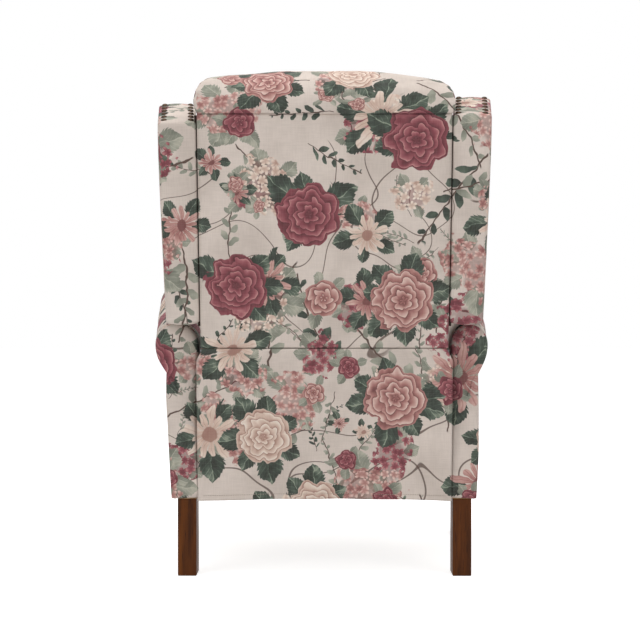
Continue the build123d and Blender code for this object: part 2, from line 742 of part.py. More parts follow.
# Head roll: a stuffed roll over the top rail, crowned across the chair
with BuildPart() as head_roll:
    with BuildSketch(back_side(-BACK_HALF)):
        with BuildLine():
            front = BACK_PAD_FRONT - 4
            Line((0, BACK_TOP_SEAM), (BACK_PAD_REAR, BACK_TOP_SEAM))
            under = BACK_PAD_TOP + SEAT_GAP
            Polyline((BACK_PAD_REAR, BACK_TOP_SEAM), (BACK_PAD_REAR, under), (front + 26, under))
            brow = (front + 34, BACK_TOP_SEAM + 0.64 * HEAD_RISE)
            nape = (HEAD_REAR_Y, BACK_TOP_SEAM + 0.685 * HEAD_RISE)
            ThreePointArc((front + 26, under), (front + 1, BACK_TOP_SEAM + 0.034 * HEAD_RISE), brow)
            ThreePointArc(brow, (HEAD_CREST_Y, HEAD_TOP), nape)
            ThreePointArc(nape, (1.5, BACK_TOP_SEAM + 0.315 * HEAD_RISE), (0, BACK_TOP_SEAM))
        make_face()
    extrude(amount=2 * BACK_HALF)
    with BuildSketch(back_face(20)):
        with BuildLine():
            edge = BACK_HALF - 0.5
            Polyline(
                (-edge, HEAD_END - 22), (-edge, BACK_PAD_TOP), (edge, BACK_PAD_TOP), (edge, HEAD_END - 22)
            )
            ThreePointArc((edge, HEAD_END - 22), (edge - 7, HEAD_END - 4), (edge - 26, HEAD_END + 6))
            ThreePointArc((edge - 26, HEAD_END + 6), (0, HEAD_TOP), (26 - edge, HEAD_END + 6))
            ThreePointArc((26 - edge, HEAD_END + 6), (7 - edge, HEAD_END - 4), (-edge, HEAD_END - 22))
        make_face()
    extrude(amount=220, mode=Mode.INTERSECT)
save(head_roll, "head_roll")


def wing_outline(inset, rear):
    """Side outline of a wing, drawn in by inset, its rear edge at the given forward distance."""
    tip = WING_TOP_FRONT + 1 - inset
    tip_curve, high_curve, low_curve = WING_CURVES
    turns = ((tip, tip_curve - inset), (WING_BEND_HIGH, high_curve), (WING_BEND_LOW, low_curve))
    with BuildLine() as outline:
        Polyline(
            (rear, WING_BOTTOM + inset),
            (rear, WING_TOP_REAR - inset),
            (WING_REACH_TOP + 3 - inset, tip),
            (WING_REACH_TOP - inset, WING_BEND_HIGH),
            (WING_REACH_BOTTOM - inset, WING_BEND_LOW),
            (WING_REACH_BOTTOM - 4 - inset, WING_BOTTOM + inset),
            close=True,
        )
        for height, radius in turns:
            fillet(outline.vertices().filter_by(lambda v: abs(v.Y - height) < 0.5), radius)
    make_face(outline.edges())


for sign in SIDES:
    outward = -sign
    with BuildPart() as wing_pad:
        with BuildSketch(wing_plane(sign, 0)):
            wing_outline(0, WING_PANEL_THICK + SEAT_GAP)
        extrude(amount=outward * WING_THICK)
        wing_taper(sign, 0)
        broad = wing_pad.faces().sort_by(SortBy.AREA)[-2:]
        rims = [
            e
            for face in broad
            for e in face.edges()
            if wing_plane(sign, 0).to_local_coords(e.center()).X > WING_PANEL_THICK + 2
        ]
        fillet(rims, WING_RIM_R)
        with BuildSketch(wing_plane(sign, WING_PLATE_IN - SEAT_GAP)):
            wing_outline(WING_PLATE_EDGE - SEAT_GAP, 0)
        extrude(amount=outward * (PLY + 2 * SEAT_GAP), mode=Mode.SUBTRACT)
        with BuildSketch(wing_plane(sign, -1)):
            with Locations((27, 0.5 * (WING_BOTTOM + WING_TOP_REAR))):
                Rectangle(66, WING_TOP_REAR - WING_BOTTOM - 80)
        extrude(amount=outward * (WING_PLATE_IN + 1), mode=Mode.SUBTRACT)
    save(wing_pad, f"wing_pad_{side_name(sign)}")

    with BuildPart() as wing_rear_panel:
        with BuildSketch(wing_plane(sign, 1)):
            with BuildLine():
                Polyline(
                    (0, WING_BOTTOM),
                    (0, WING_TOP_REAR),
                    (WING_PANEL_THICK, WING_TOP_REAR),
                    (WING_PANEL_THICK, WING_BOTTOM),
                    close=True,
                )
            make_face()
        extrude(amount=outward * (WING_THICK - 2))
        wing_taper(sign, 1)
    save(wing_rear_panel, f"wing_rear_panel_{side_name(sign)}")

with BuildPart() as wing_plates:
    for sign in SIDES:
        with BuildSketch(wing_plane(sign, WING_PLATE_IN)):
            wing_outline(WING_PLATE_EDGE, WING_PANEL_THICK + SEAT_GAP)
        extrude(amount=-sign * PLY)
save(wing_plates, "wing_plates")


def plate_x(y):
    """Inner face of a wing plate at depth y in the back's frame."""
    return WING_ROOT + WING_PLATE_IN / math.cos(FLARE) + (WING_SETBACK - y) * math.tan(FLARE)


# Wing blocks: spacers between stile and wing plate, cut to the flare
with BuildPart() as wing_blocks:
    for sign in SIDES:
        for z in (120, 360):
            with BuildSketch(back_level(z)):
                with BuildLine():
                    rear = BACK_FRAME_REAR - 6
                    fore = BACK_FRAME_FRONT + 2
                    Polyline(
                        (sign * STILE_OUT, rear),
                        (sign * plate_x(rear), rear),
                        (sign * plate_x(fore), fore),
                        (sign * STILE_OUT, fore),
                        close=True,
                    )
                make_face()
            extrude(amount=60)
save(wing_blocks, "wing_blocks")

# Back brackets: steel plates on the stiles with the recline bore and the drive pin
top_spot = back_point(0, (BACK_FRAME_FRONT + BACK_FRAME_REAR) / 2, 90)
plate_pair(
    "back_brackets", BRACKET_BACK_X, STEEL,
    [((PIVOT_Y, PIVOT_Z, 17), (*DRIVE, 12), (top_spot.Y, top_spot.Z, 14))],
    [(PIVOT_Y, PIVOT_Z, PIVOT_R + RUN_GAP), (*DRIVE, TAIL_R)],
)

with BuildPart() as drive_pins:
    for sign in SIDES:
        cross_pin(sign, DRIVE, SEAT_RAIL_OUT - 3, BRACKET_BACK_X + STEEL + 1.5, TAIL_R)
save(drive_pins, "drive_pins")

# Seat frame
with BuildPart() as seat_side_rails:
    for sign in SIDES:
        block(
            sign * (SEAT_RAIL_OUT - SEAT_RAIL_THICK), sign * SEAT_RAIL_OUT,
            SEAT_RAIL_FRONT, SEAT_RAIL_REAR, SEAT_RAIL_Z, SEAT_RAIL_TOP,
        )
save(seat_side_rails, "seat_side_rails")
rail_in = SEAT_RAIL_OUT - SEAT_RAIL_THICK
save(
    board(
        -rail_in, rail_in, SEAT_RAIL_FRONT, SEAT_RAIL_FRONT + SEAT_RAIL_THICK, SEAT_RAIL_Z, SEAT_RAIL_TOP
    ),
    "seat_front_rail",
)
save(
    board(
        -rail_in, rail_in, SEAT_RAIL_REAR - SEAT_RAIL_THICK, SEAT_RAIL_REAR, SEAT_RAIL_Z, SEAT_RAIL_TOP
    ),
    "seat_rear_rail",
)

# Sinuous springs from front to rear rail
with BuildPart() as seat_springs:
    spring_z = SEAT_RAIL_TOP + SPRING_WIRE_R
    for x in (-135, -45, 45, 135):
        start = SEAT_RAIL_FRONT + 8
        pitch = (SEAT_RAIL_REAR - SEAT_RAIL_FRONT - 16) / SPRING_TURNS
        run = [(x - SPRING_SWING, start, spring_z)]
        for turn in range(SPRING_TURNS):
            swing = SPRING_SWING if turn % 2 == 0 else -SPRING_SWING
            run.append((x + swing, start + turn * pitch, spring_z))
            run.append((x + swing, start + (turn + 1) * pitch, spring_z))
        run.append((x - run[-1][0] + x, start + SPRING_TURNS * pitch, spring_z))
        with BuildLine() as wire:
            FilletPolyline(*run, radius=SPRING_SWING / 2)
        with BuildSketch(Plane(origin=run[0], z_dir=(1, 0, 0))):
            RegularPolygon(SPRING_WIRE_R, 4, rotation=45, major_radius=False)
        sweep(path=wire.line)
save(seat_springs, "seat_springs")

save(
    board(-SEAT_RAIL_OUT, SEAT_RAIL_OUT, SEAT_RAIL_FRONT, SEAT_RAIL_REAR, DECK_Z, DECK_Z + DECK_THICK),
    "seat_deck",
)

# Seat cushion: crowned both ways, sides drawn in, rounded nose
with BuildPart() as seat_cushion:
    with BuildSketch(Plane.YZ.offset(-SEAT_PAD_HALF)):
        with BuildLine():
            low = SEAT_PAD_Z + SEAT_GAP
            nose = SEAT_PAD_TOP - 44
            mid = (SEAT_PAD_FRONT + SEAT_PAD_REAR) / 2
            Polyline((SEAT_PAD_REAR, low), (SEAT_PAD_FRONT + 4, low), (SEAT_PAD_FRONT, nose))
            brow = (SEAT_PAD_FRONT + 42, SEAT_PAD_TOP)
            tail = (SEAT_PAD_REAR - 8, SEAT_PAD_TOP - 12)
            ThreePointArc((SEAT_PAD_FRONT, nose), (SEAT_PAD_FRONT + 12, nose + 30), brow)
            ThreePointArc(brow, (mid, SEAT_PAD_TOP + SEAT_CROWN), tail)
            Polyline(tail, (SEAT_PAD_REAR, SEAT_PAD_TOP - 22), (SEAT_PAD_REAR, low))
        make_face()
    extrude(amount=2 * SEAT_PAD_HALF)
    with BuildSketch(across(SEAT_PAD_REAR)):
        with BuildLine():
            half = SEAT_PAD_HALF
            shoulder = SEAT_PAD_TOP - 24
            Polyline((-half + 2, low), (half - 2, low), (half, shoulder - 16))
            ThreePointArc((half, shoulder - 16), (half - 6, shoulder + 8), (half - 26, shoulder + 20))
            peak = (0, SEAT_PAD_TOP + SEAT_CROWN)
            ThreePointArc((half - 26, shoulder + 20), peak, (26 - half, shoulder + 20))
            ThreePointArc((26 - half, shoulder + 20), (6 - half, shoulder + 8), (-half, shoulder - 16))
            Line((-half, shoulder - 16), (-half + 2, low))
        make_face()
    extrude(amount=SEAT_PAD_REAR - SEAT_PAD_FRONT, mode=Mode.INTERSECT)
save(seat_cushion, "seat_cushion")

# Seat plates: steel sides with heel bore, slider slot and the rear arm that the drive pin pushes
low_pin = PIVOT_Z - DRIVE_ARM
with BuildPart() as seat_plates:
    for sign in SIDES:
        plate(
            sign, SEAT_RAIL_OUT, STEEL,
            [
                ((*HEEL, 14), (*SLIDER, 15)),
                (
                    (SEAT_RAIL_FRONT + 20, TRACK_Z, 14),
                    (SEAT_RAIL_REAR - 20, TRACK_Z, 16),
                    (SLIDER[0], SLIDER[1] - 5, 19),
                ),
                ((SEAT_RAIL_REAR - 20, TRACK_Z, 16), (DRIVE[0], DRIVE[1] - 1, 14)),
            ],
            [(*HEEL, PIN_R)] + [(y, TRACK_Z, TAIL_R) for y in GLIDE_Y],
        )
        slot(sign, SEAT_RAIL_OUT, STEEL, SLIDER, SLIDER_END, PIN_R + RUN_GAP + 0.1)
        slot(
            sign, SEAT_RAIL_OUT, STEEL, (DRIVE[0], low_pin - 1), (DRIVE[0], DRIVE[1] + 1), TAIL_R + 0.4,
        )
save(seat_plates, "seat_plates")

# Glide blocks on stub bolts, and the pins on which the linkage heels turn
with BuildPart() as glide_blocks:
    for sign in SIDES:
        inner = PANEL_IN - TRACK_DEPTH - 2
        outer = PANEL_IN - STEEL - 1
        for y in GLIDE_Y:
            block(
                sign * inner, sign * outer, y - GLIDE_LENGTH / 2, y + GLIDE_LENGTH / 2,
                TRACK_Z - TRACK_IN / 2 + GLIDE_GAP, TRACK_Z + TRACK_IN / 2 - GLIDE_GAP,
            )
save(glide_blocks, "glide_blocks")


def rivets(label, spots):
    """Headed pins through the given (spot, inner, outer) grips, both sides of the chair."""
    with BuildPart() as group:
        for sign in SIDES:
            for spot, inner, outer in spots:
                cross_pin(sign, spot, inner, outer, PIN_R)
                cross_pin(sign, spot, outer, outer + PIN_HEAD, PIN_HEAD_R)
    save(group, label)


FIT = PIN_R + RUN_GAP
LINK_OUT = OUTER_X + STEEL
with BuildPart() as seat_studs:
    for sign in SIDES:
        for y in GLIDE_Y:
            cross_pin(sign, (y, TRACK_Z), SEAT_RAIL_OUT, PANEL_IN - TRACK_DEPTH - 2, TAIL_R)
        cross_pin(sign, HEEL, SEAT_RAIL_OUT, INNER_X + STEEL, PIN_R)
        cross_pin(sign, HEEL, INNER_X + STEEL, INNER_X + STEEL + PIN_HEAD, PIN_HEAD_R)
save(seat_studs, "seat_studs")

# Rear lower links: heel to upper knee, with a tail that holds the drive rod
plate_pair(
    "heel_links", INNER_X, STEEL,
    [((*HEEL, LINK_R), (*UPPER_KNEE, LINK_R)), ((*HEEL, LINK_R + 2), (*TAIL, LINK_R))],
    [(*HEEL, FIT), (*FIRST_CROSS, PIN_R), (*UPPER_KNEE, PIN_R), (*TAIL, TAIL_R)],
)
with BuildPart() as drive_rod:
    with BuildSketch(Plane.YZ.offset(-GUIDE_X - STEEL - 3)):
        with Locations(TAIL):
            Circle(TAIL_R)
    extrude(amount=2 * (GUIDE_X + STEEL + 3))
save(drive_rod, "drive_rod")
rivets("heel_link_pins", [(spot, INNER_X, LINK_OUT) for spot in (FIRST_CROSS, UPPER_KNEE)])

# Rear upper links: slider to lower knee
plate_pair(
    "slider_links", OUTER_X, STEEL,
    [((*SLIDER, LINK_R), (*LOWER_KNEE, LINK_R))],
    [(*SLIDER, PIN_R), (*FIRST_CROSS, FIT), (*LOWER_KNEE, PIN_R)],
)
rivets("slider_link_pins", [(SLIDER, SEAT_RAIL_OUT, LINK_OUT), (LOWER_KNEE, INNER_X, LINK_OUT)])

# Front links: upper knee to toe, and lower knee to second crossing with the cam ear
plate_pair(
    "toe_links", OUTER_X, STEEL,
    [((*UPPER_KNEE, LINK_R), (*TOE, LINK_R))],
    [(*UPPER_KNEE, FIT), (*SECOND_CROSS, FIT), (*TOE, PIN_R)],
)
rivets("toe_pins", [(TOE, BRACKET_X, LINK_OUT)])
plate_pair(
    "cam_links", INNER_X, STEEL,
    [((*LOWER_KNEE, LINK_R), (*SECOND_CROSS, LINK_R)), ((*SECOND_CROSS, LINK_R), (*CAM, LINK_R - 1))],
    [(*LOWER_KNEE, FIT), (*SECOND_CROSS, PIN_R), (*CAM, PIN_R)],
)
with BuildPart() as cam_link_pins:
    for sign in SIDES:
        cross_pin(sign, SECOND_CROSS, INNER_X, LINK_OUT, PIN_R)
        cross_pin(sign, SECOND_CROSS, LINK_OUT, LINK_OUT + PIN_HEAD, PIN_HEAD_R)
        cross_pin(sign, CAM, BRACKET_X, INNER_X + STEEL, PIN_R)
save(cam_link_pins, "cam_link_pins")

# Footrest brackets: toe bore, cam slot and a foot flange screwed to the board
foot_rear = FOOT_FRONT + FOOT_THICK + SEAT_GAP + FOOT_BOARD
cam_reach = math.dist(TOE, CAM)
cam_way = ((CAM[0] - TOE[0]) / cam_reach, (CAM[1] - TOE[1]) / cam_reach)


def on_arm(reach):
    return (TOE[0] + reach * cam_way[0], TOE[1] + reach * cam_way[1])


with BuildPart() as foot_brackets:
    for sign in SIDES:
        plate(
            sign, BRACKET_X, STEEL,
            [
                ((*TOE, 12), (*on_arm(LINK_HALF), 15.5)),
                ((*TOE, 12), (foot_rear + 8, TOE[1] - 20, 8), (foot_rear + 8, TOE[1] + 40, 8)),
            ],
            [(*TOE, FIT)],
        )
        slot(
            sign, BRACKET_X, STEEL, on_arm(LINK_HALF - CAM_ARM - 3), on_arm(LINK_HALF), PIN_R + CAM_GAP,
        )
        block(
            sign * (BRACKET_X - 22), sign * (BRACKET_X + STEEL), foot_rear, foot_rear + STEEL,
            TOE[1] - 25, TOE[1] + 90,
        )
save(foot_brackets, "foot_brackets")

save(
    board(
        -FOOT_BOARD_HALF, FOOT_BOARD_HALF, foot_rear - FOOT_BOARD, foot_rear,
        FOOT_BOTTOM + 10, FOOT_TOP - 14,
    ),
    "footrest_board",
)

# Footrest pad: bowed face, rounded ends
with BuildPart() as footrest_pad:
    with BuildSketch(Plane.YZ.offset(-FOOT_HALF)):
        with BuildLine():
            rear = FOOT_FRONT + FOOT_THICK
            Polyline((rear, FOOT_TOP - 4), (rear, FOOT_BOTTOM + 4))
            ThreePointArc((rear, FOOT_BOTTOM + 4), (rear - 16, FOOT_BOTTOM), (rear - 36, FOOT_BOTTOM + 14))
            belly = (FOOT_FRONT, (FOOT_BOTTOM + FOOT_TOP) / 2)
            ThreePointArc((rear - 36, FOOT_BOTTOM + 14), belly, (rear - 36, FOOT_TOP - 14))
            ThreePointArc((rear - 36, FOOT_TOP - 14), (rear - 16, FOOT_TOP), (rear, FOOT_TOP - 4))
        make_face()
    extrude(amount=2 * FOOT_HALF)
    with BuildSketch(Plane.XY.offset(FOOT_BOTTOM - 5)):
        with BuildLine():
            lip = rear - 34
            ThreePointArc((-FOOT_HALF, lip), (0, FOOT_FRONT), (FOOT_HALF, lip))
            ThreePointArc((FOOT_HALF, lip), (FOOT_HALF - 1.5, (lip + rear) / 2), (FOOT_HALF, rear))
            Line((FOOT_HALF, rear), (-FOOT_HALF, rear))
            ThreePointArc((-FOOT_HALF, rear), (1.5 - FOOT_HALF, (lip + rear) / 2), (-FOOT_HALF, lip))
        make_face()
    extrude(amount=FOOT_TOP - FOOT_BOTTOM + 10, mode=Mode.INTERSECT)
save(footrest_pad, "footrest_pad")
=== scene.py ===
import json
import logging
import math
from dataclasses import dataclass
from enum import Enum
from typing import Callable, Dict, Iterable, List, Optional, Sequence, Tuple, Union

import bmesh
import bpy
from mathutils import Matrix, Vector, noise


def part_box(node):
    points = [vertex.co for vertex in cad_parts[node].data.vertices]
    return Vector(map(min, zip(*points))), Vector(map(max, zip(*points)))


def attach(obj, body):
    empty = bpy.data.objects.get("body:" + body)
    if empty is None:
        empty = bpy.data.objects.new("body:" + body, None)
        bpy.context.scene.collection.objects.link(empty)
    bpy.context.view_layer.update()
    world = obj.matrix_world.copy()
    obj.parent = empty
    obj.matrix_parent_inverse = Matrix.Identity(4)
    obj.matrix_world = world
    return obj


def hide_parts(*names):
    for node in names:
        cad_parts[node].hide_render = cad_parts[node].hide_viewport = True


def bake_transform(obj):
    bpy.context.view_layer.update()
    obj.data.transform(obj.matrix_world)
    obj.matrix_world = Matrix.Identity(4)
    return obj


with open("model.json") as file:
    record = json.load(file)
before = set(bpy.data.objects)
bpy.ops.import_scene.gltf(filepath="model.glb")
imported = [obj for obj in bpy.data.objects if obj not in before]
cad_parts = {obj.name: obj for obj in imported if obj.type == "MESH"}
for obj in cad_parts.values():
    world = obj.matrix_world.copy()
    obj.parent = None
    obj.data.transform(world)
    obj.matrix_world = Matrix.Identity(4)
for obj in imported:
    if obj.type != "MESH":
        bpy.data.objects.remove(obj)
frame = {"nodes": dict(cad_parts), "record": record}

LOG = logging.getLogger("wing_recliner")
SIDES = (1, -1)
CHART_NAME = "cloth"
MERGE_GAP = 1e-5
MIX_INPUTS = (0, 6, 7)
MIX_RESULT = 2
SIDE_FACING = 0.72
NAIL_FLATNESS = 0.62

Rgb = Tuple[int, int, int]
Stops = Sequence[Tuple[float, Rgb]]
Pair = Tuple[float, float]
Place = Callable[[float, float], Vector]
Chart = Callable[[float, float, float, float], Pair]
Hold = Callable[[Vector], Vector]


def side_name(sign: int) -> str:
    """Name the sitter's left or right side."""
    return "left" if sign > 0 else "right"


def linear(colour: Sequence[float]) -> Tuple[float, float, float, float]:
    """Turn a display colour of 0 to 255 into the scene's linear colour.

    Args:
        colour: red, green and blue as shown on a screen.

    Returns:
        The linear colour with full opacity.
    """
    parts = []
    for part in colour:
        level = part / 255.0
        parts.append(level / 12.92 if level <= 0.04045 else ((level + 0.055) / 1.055) ** 2.4)
    return (parts[0], parts[1], parts[2], 1.0)


def ease(low: float, high: float, value: float) -> float:
    """Rise smoothly from 0 at low to 1 at high."""
    share = min(1.0, max(0.0, (value - low) / (high - low)))
    return share * share * (3.0 - 2.0 * share)


def keep_in(spot: Vector, low: Sequence[float], high: Sequence[float]) -> Vector:
    """Bring a point into a box."""
    return Vector([max(least, min(most, part)) for part, least, most in zip(spot, low, high)])


def edge_drop(gap: float, radius: float) -> float:
    """Drop of a rounded edge below its face at the given distance from the edge."""
    if gap >= radius:
        return 0.0
    return radius - math.sqrt(max(0.0, radius**2 - (radius - max(0.0, gap)) ** 2))


def ripple(point: Vector, scale: float, seed: float) -> float:
    """Smooth repeatable unevenness of about -1 to 1 at a point."""
    return noise.noise(point * scale + Vector((seed, 2.3 * seed, -seed)))


@dataclass(frozen=True)
class Field:
    """A number that varies over a surface: a node socket with arithmetic."""

    desk: "NodeDesk"
    socket: bpy.types.NodeSocket

    def __add__(self, other: "Value") -> "Field":
        """Add a number or field."""
        return self.desk.math("ADD", self, other)

    __radd__ = __add__

    def __sub__(self, other: "Value") -> "Field":
        """Take a number or field away."""
        return self.desk.math("SUBTRACT", self, other)

    def __rsub__(self, other: "Value") -> "Field":
        """Take this field from a number."""
        return self.desk.math("SUBTRACT", other, self)

    def __mul__(self, other: "Value") -> "Field":
        """Multiply by a number or field."""
        return self.desk.math("MULTIPLY", self, other)

    __rmul__ = __mul__

    def __truediv__(self, other: "Value") -> "Field":
        """Divide by a number or field."""
        return self.desk.math("DIVIDE", self, other)

    def __pow__(self, other: "Value") -> "Field":
        """Raise to a power."""
        return self.desk.math("POWER", self, other)

    def __abs__(self) -> "Field":
        """Drop the sign."""
        return self.desk.math("ABSOLUTE", self)

    def floor(self) -> "Field":
        """Round down."""
        return self.desk.math("FLOOR", self)

    def fract(self) -> "Field":
        """Keep what is past the whole number."""
        return self.desk.math("FRACT", self)

    def sin(self) -> "Field":
        """Sine of the field."""
        return self.desk.math("SINE", self)

    def cos(self) -> "Field":
        """Cosine of the field."""
        return self.desk.math("COSINE", self)

    def step(self, low: "Value", high: "Value") -> "Field":
        """Rise smoothly from 0 at low to 1 at high."""
        return self.desk.step(self, low, high)


Value = Union[float, Field]


class NodeDesk:
    """Places and links the shader nodes of one material."""

    def __init__(self, tree: bpy.types.NodeTree) -> None:
        """Keep the tree that the nodes go into."""
        self.tree = tree

    def node(self, kind: str, **settings: object) -> bpy.types.Node:
        """Add a node.

        Args:
            kind: the node's type name.
            settings: attributes to set on it.

        Returns:
            The new node.
        """
        made = self.tree.nodes.new(kind)
        for name, value in settings.items():
            setattr(made, name, value)
        return made

    def feed(self, socket: bpy.types.NodeSocket, value: object) -> None:
        """Link a field or socket into an input, or set a plain value on it.

        Args:
            socket: the input.
            value: a field, an output socket or a plain value.
        """
        if isinstance(value, Field):
            self.tree.links.new(value.socket, socket)
        elif isinstance(value, bpy.types.NodeSocket):
            self.tree.links.new(value, socket)
        else:
            socket.default_value = value

    def wire(self, kind: str, given: Dict[Union[int, str], object], **settings: object) -> bpy.types.Node:
        """Add a node and feed its inputs.

        Args:
            kind: the node's type name.
            given: what goes into each input, by its number or name.
            settings: attributes to set on the node.

        Returns:
            The new node.
        """
        made = self.node(kind, **settings)
        for key, value in given.items():
            self.feed(made.inputs[key], value)
        return made

    def math(self, operation: str, *given: Value) -> Field:
        """Do one operation on numbers or fields."""
        return Field(self, self.wire("ShaderNodeMath", dict(enumerate(given)), operation=operation).outputs[0])

    def vector(self, operation: str, *given: object) -> bpy.types.Node:
        """Do one operation on vectors."""
        return self.wire("ShaderNodeVectorMath", dict(enumerate(given)), operation=operation)

    def step(self, value: Value, low: Value, high: Value) -> Field:
        """Rise smoothly from 0 where a field is at low to 1 where it is at high."""
        given = {"Value": value, "From Min": low, "From Max": high}
        return Field(self, self.wire("ShaderNodeMapRange", given, interpolation_type="SMOOTHSTEP").outputs[0])

    def stretch(self, place: object, scale: Sequence[float]) -> bpy.types.NodeSocket:
        """Scale a place along its axes."""
        return self.wire("ShaderNodeMapping", {"Vector": place, "Scale": tuple(scale)}).outputs[0]

    def noise(self, place: object, scale: float, detail: float = 1.0, flat: bool = False) -> bpy.types.Node:
        """Add a noise texture of so many cells per metre, in two or three dimensions."""
        given = {"Vector": place, "Scale": scale, "Detail": detail}
        return self.wire("ShaderNodeTexNoise", given, noise_dimensions="2D" if flat else "3D")

    def cloud(self, place: object, scale: float, detail: float = 1.0, flat: bool = False) -> Field:
        """Noise as a field of about 0 to 1."""
        return Field(self, self.noise(place, scale, detail, flat).outputs["Fac"])

    def split(self, vector: object) -> Tuple[Field, Field, Field]:
        """Split a vector or colour into its three parts."""
        return tuple(Field(self, part) for part in self.wire("ShaderNodeSeparateXYZ", {0: vector}).outputs)

    def join(self, x: Value, y: Value) -> bpy.types.NodeSocket:
        """Join two fields into a flat vector."""
        return self.wire("ShaderNodeCombineXYZ", {0: x, 1: y}).outputs[0]

    def blend(self, factor: Value, below: object, above: object) -> bpy.types.NodeSocket:
        """Lay one colour over another by the upper one's share."""
        given = dict(zip(MIX_INPUTS, (factor, below, above)))
        return self.wire("ShaderNodeMix", given, data_type="RGBA").outputs[MIX_RESULT]

    def ramp(self, value: Value, stops: Stops) -> bpy.types.NodeSocket:
        """Colour a field by a row of stops.

        Args:
            value: the field.
            stops: pairs of level and display colour.

        Returns:
            The colour.
        """
        made = self.node("ShaderNodeValToRGB")
        elements = made.color_ramp.elements
        while len(elements) < len(stops):
            elements.new(0.5)
        for element, (place, colour) in zip(elements, stops):
            element.position = place
            element.color = linear(colour)
        self.feed(made.inputs[0], value)
        return made.outputs[0]

    def bump(
        self, height: Value, depth: float, below: Optional[bpy.types.NodeSocket] = None
    ) -> bpy.types.NodeSocket:
        """Raise a surface's normals by a height.

        Args:
            height: field of 0 to 1.
            depth: what 1 stands for, in metres.
            below: normal of a coarser relief underneath.

        Returns:
            The new normal.
        """
        given = {"Distance": depth, "Height": height}
        if below is not None:
            given["Normal"] = below
        return self.wire("ShaderNodeBump", given).outputs[0]


@dataclass(frozen=True)
class Spot:
    """One cell of a scattered motif: place round its middle, room, and three chances."""

    radius: Field
    angle: Field
    reach: Field
    chance: Tuple[Field, Field, Field]


@dataclass(frozen=True)
class Strewing:
    """How a layer's cells lie: how many per metre, turned, shifted and straying by how much."""

    cells: float
    turn: float
    shift: float
    wander: float


class Layer(Enum):
    """The print's layers of motifs, from the ground up."""

    PALE_SPRIGS = Strewing(4.6, 0.4, 3.1, 0.9)
    DARK_SPRIGS = Strewing(4.3, 1.9, 8.3, 0.9)
    LATE_SPRIGS = Strewing(5.2, 2.7, 14.1, 0.9)
    PINK_CLUSTERS = Strewing(4.4, 0.9, 5.7, 0.8)
    CREAM_CLUSTERS = Strewing(4.7, 2.1, 17.9, 0.8)
    DAISIES = Strewing(4.5, 1.2, 11.3, 0.85)
    SMALL_BLOOMS = Strewing(6.4, 2.3, 1.9, 0.85)
    LARGE_BLOOMS = Strewing(4.0, 0.0, 0.0, 0.85)


class Wreath(Enum):
    """Leaves behind a motif: stalk ends and tips as shares of its room, places, and half width."""

    CLUSTER = (0.35, 1.1, 6.0, 0.36)
    DAISY = (0.3, 1.15, 5.0, 0.34)
    SMALL = (0.3, 1.05, 5.0, 0.3)
    LARGE = (0.3, 1.14, 7.0, 0.33)


@dataclass(frozen=True)
class FloralPalette:
    """Inks of the printed cloth, from dark to light."""

    cream: Stops = ((0.0, (158, 116, 104)), (0.35, (206, 176, 160)), (0.7, (228, 208, 193)), (1.0, (240, 228, 216)))
    pink: Stops = ((0.0, (112, 64, 64)), (0.35, (168, 114, 109)), (0.7, (204, 162, 153)), (1.0, (230, 206, 195)))
    wine: Stops = ((0.0, (84, 34, 44)), (0.4, (128, 60, 71)), (0.75, (160, 90, 98)), (1.0, (198, 140, 139)))
    green: Stops = ((0.0, (33, 43, 38)), (0.45, (52, 67, 59)), (0.8, (88, 104, 91)), (1.0, (146, 156, 138)))
    sage: Stops = ((0.0, (112, 116, 104)), (0.5, (146, 149, 135)), (1.0, (190, 187, 171)))
    ground: Rgb = (223, 210, 200)
    ground_shade: Rgb = (207, 194, 184)
    stem: Rgb = (86, 66, 58)
    slub: Rgb = (150, 134, 124)


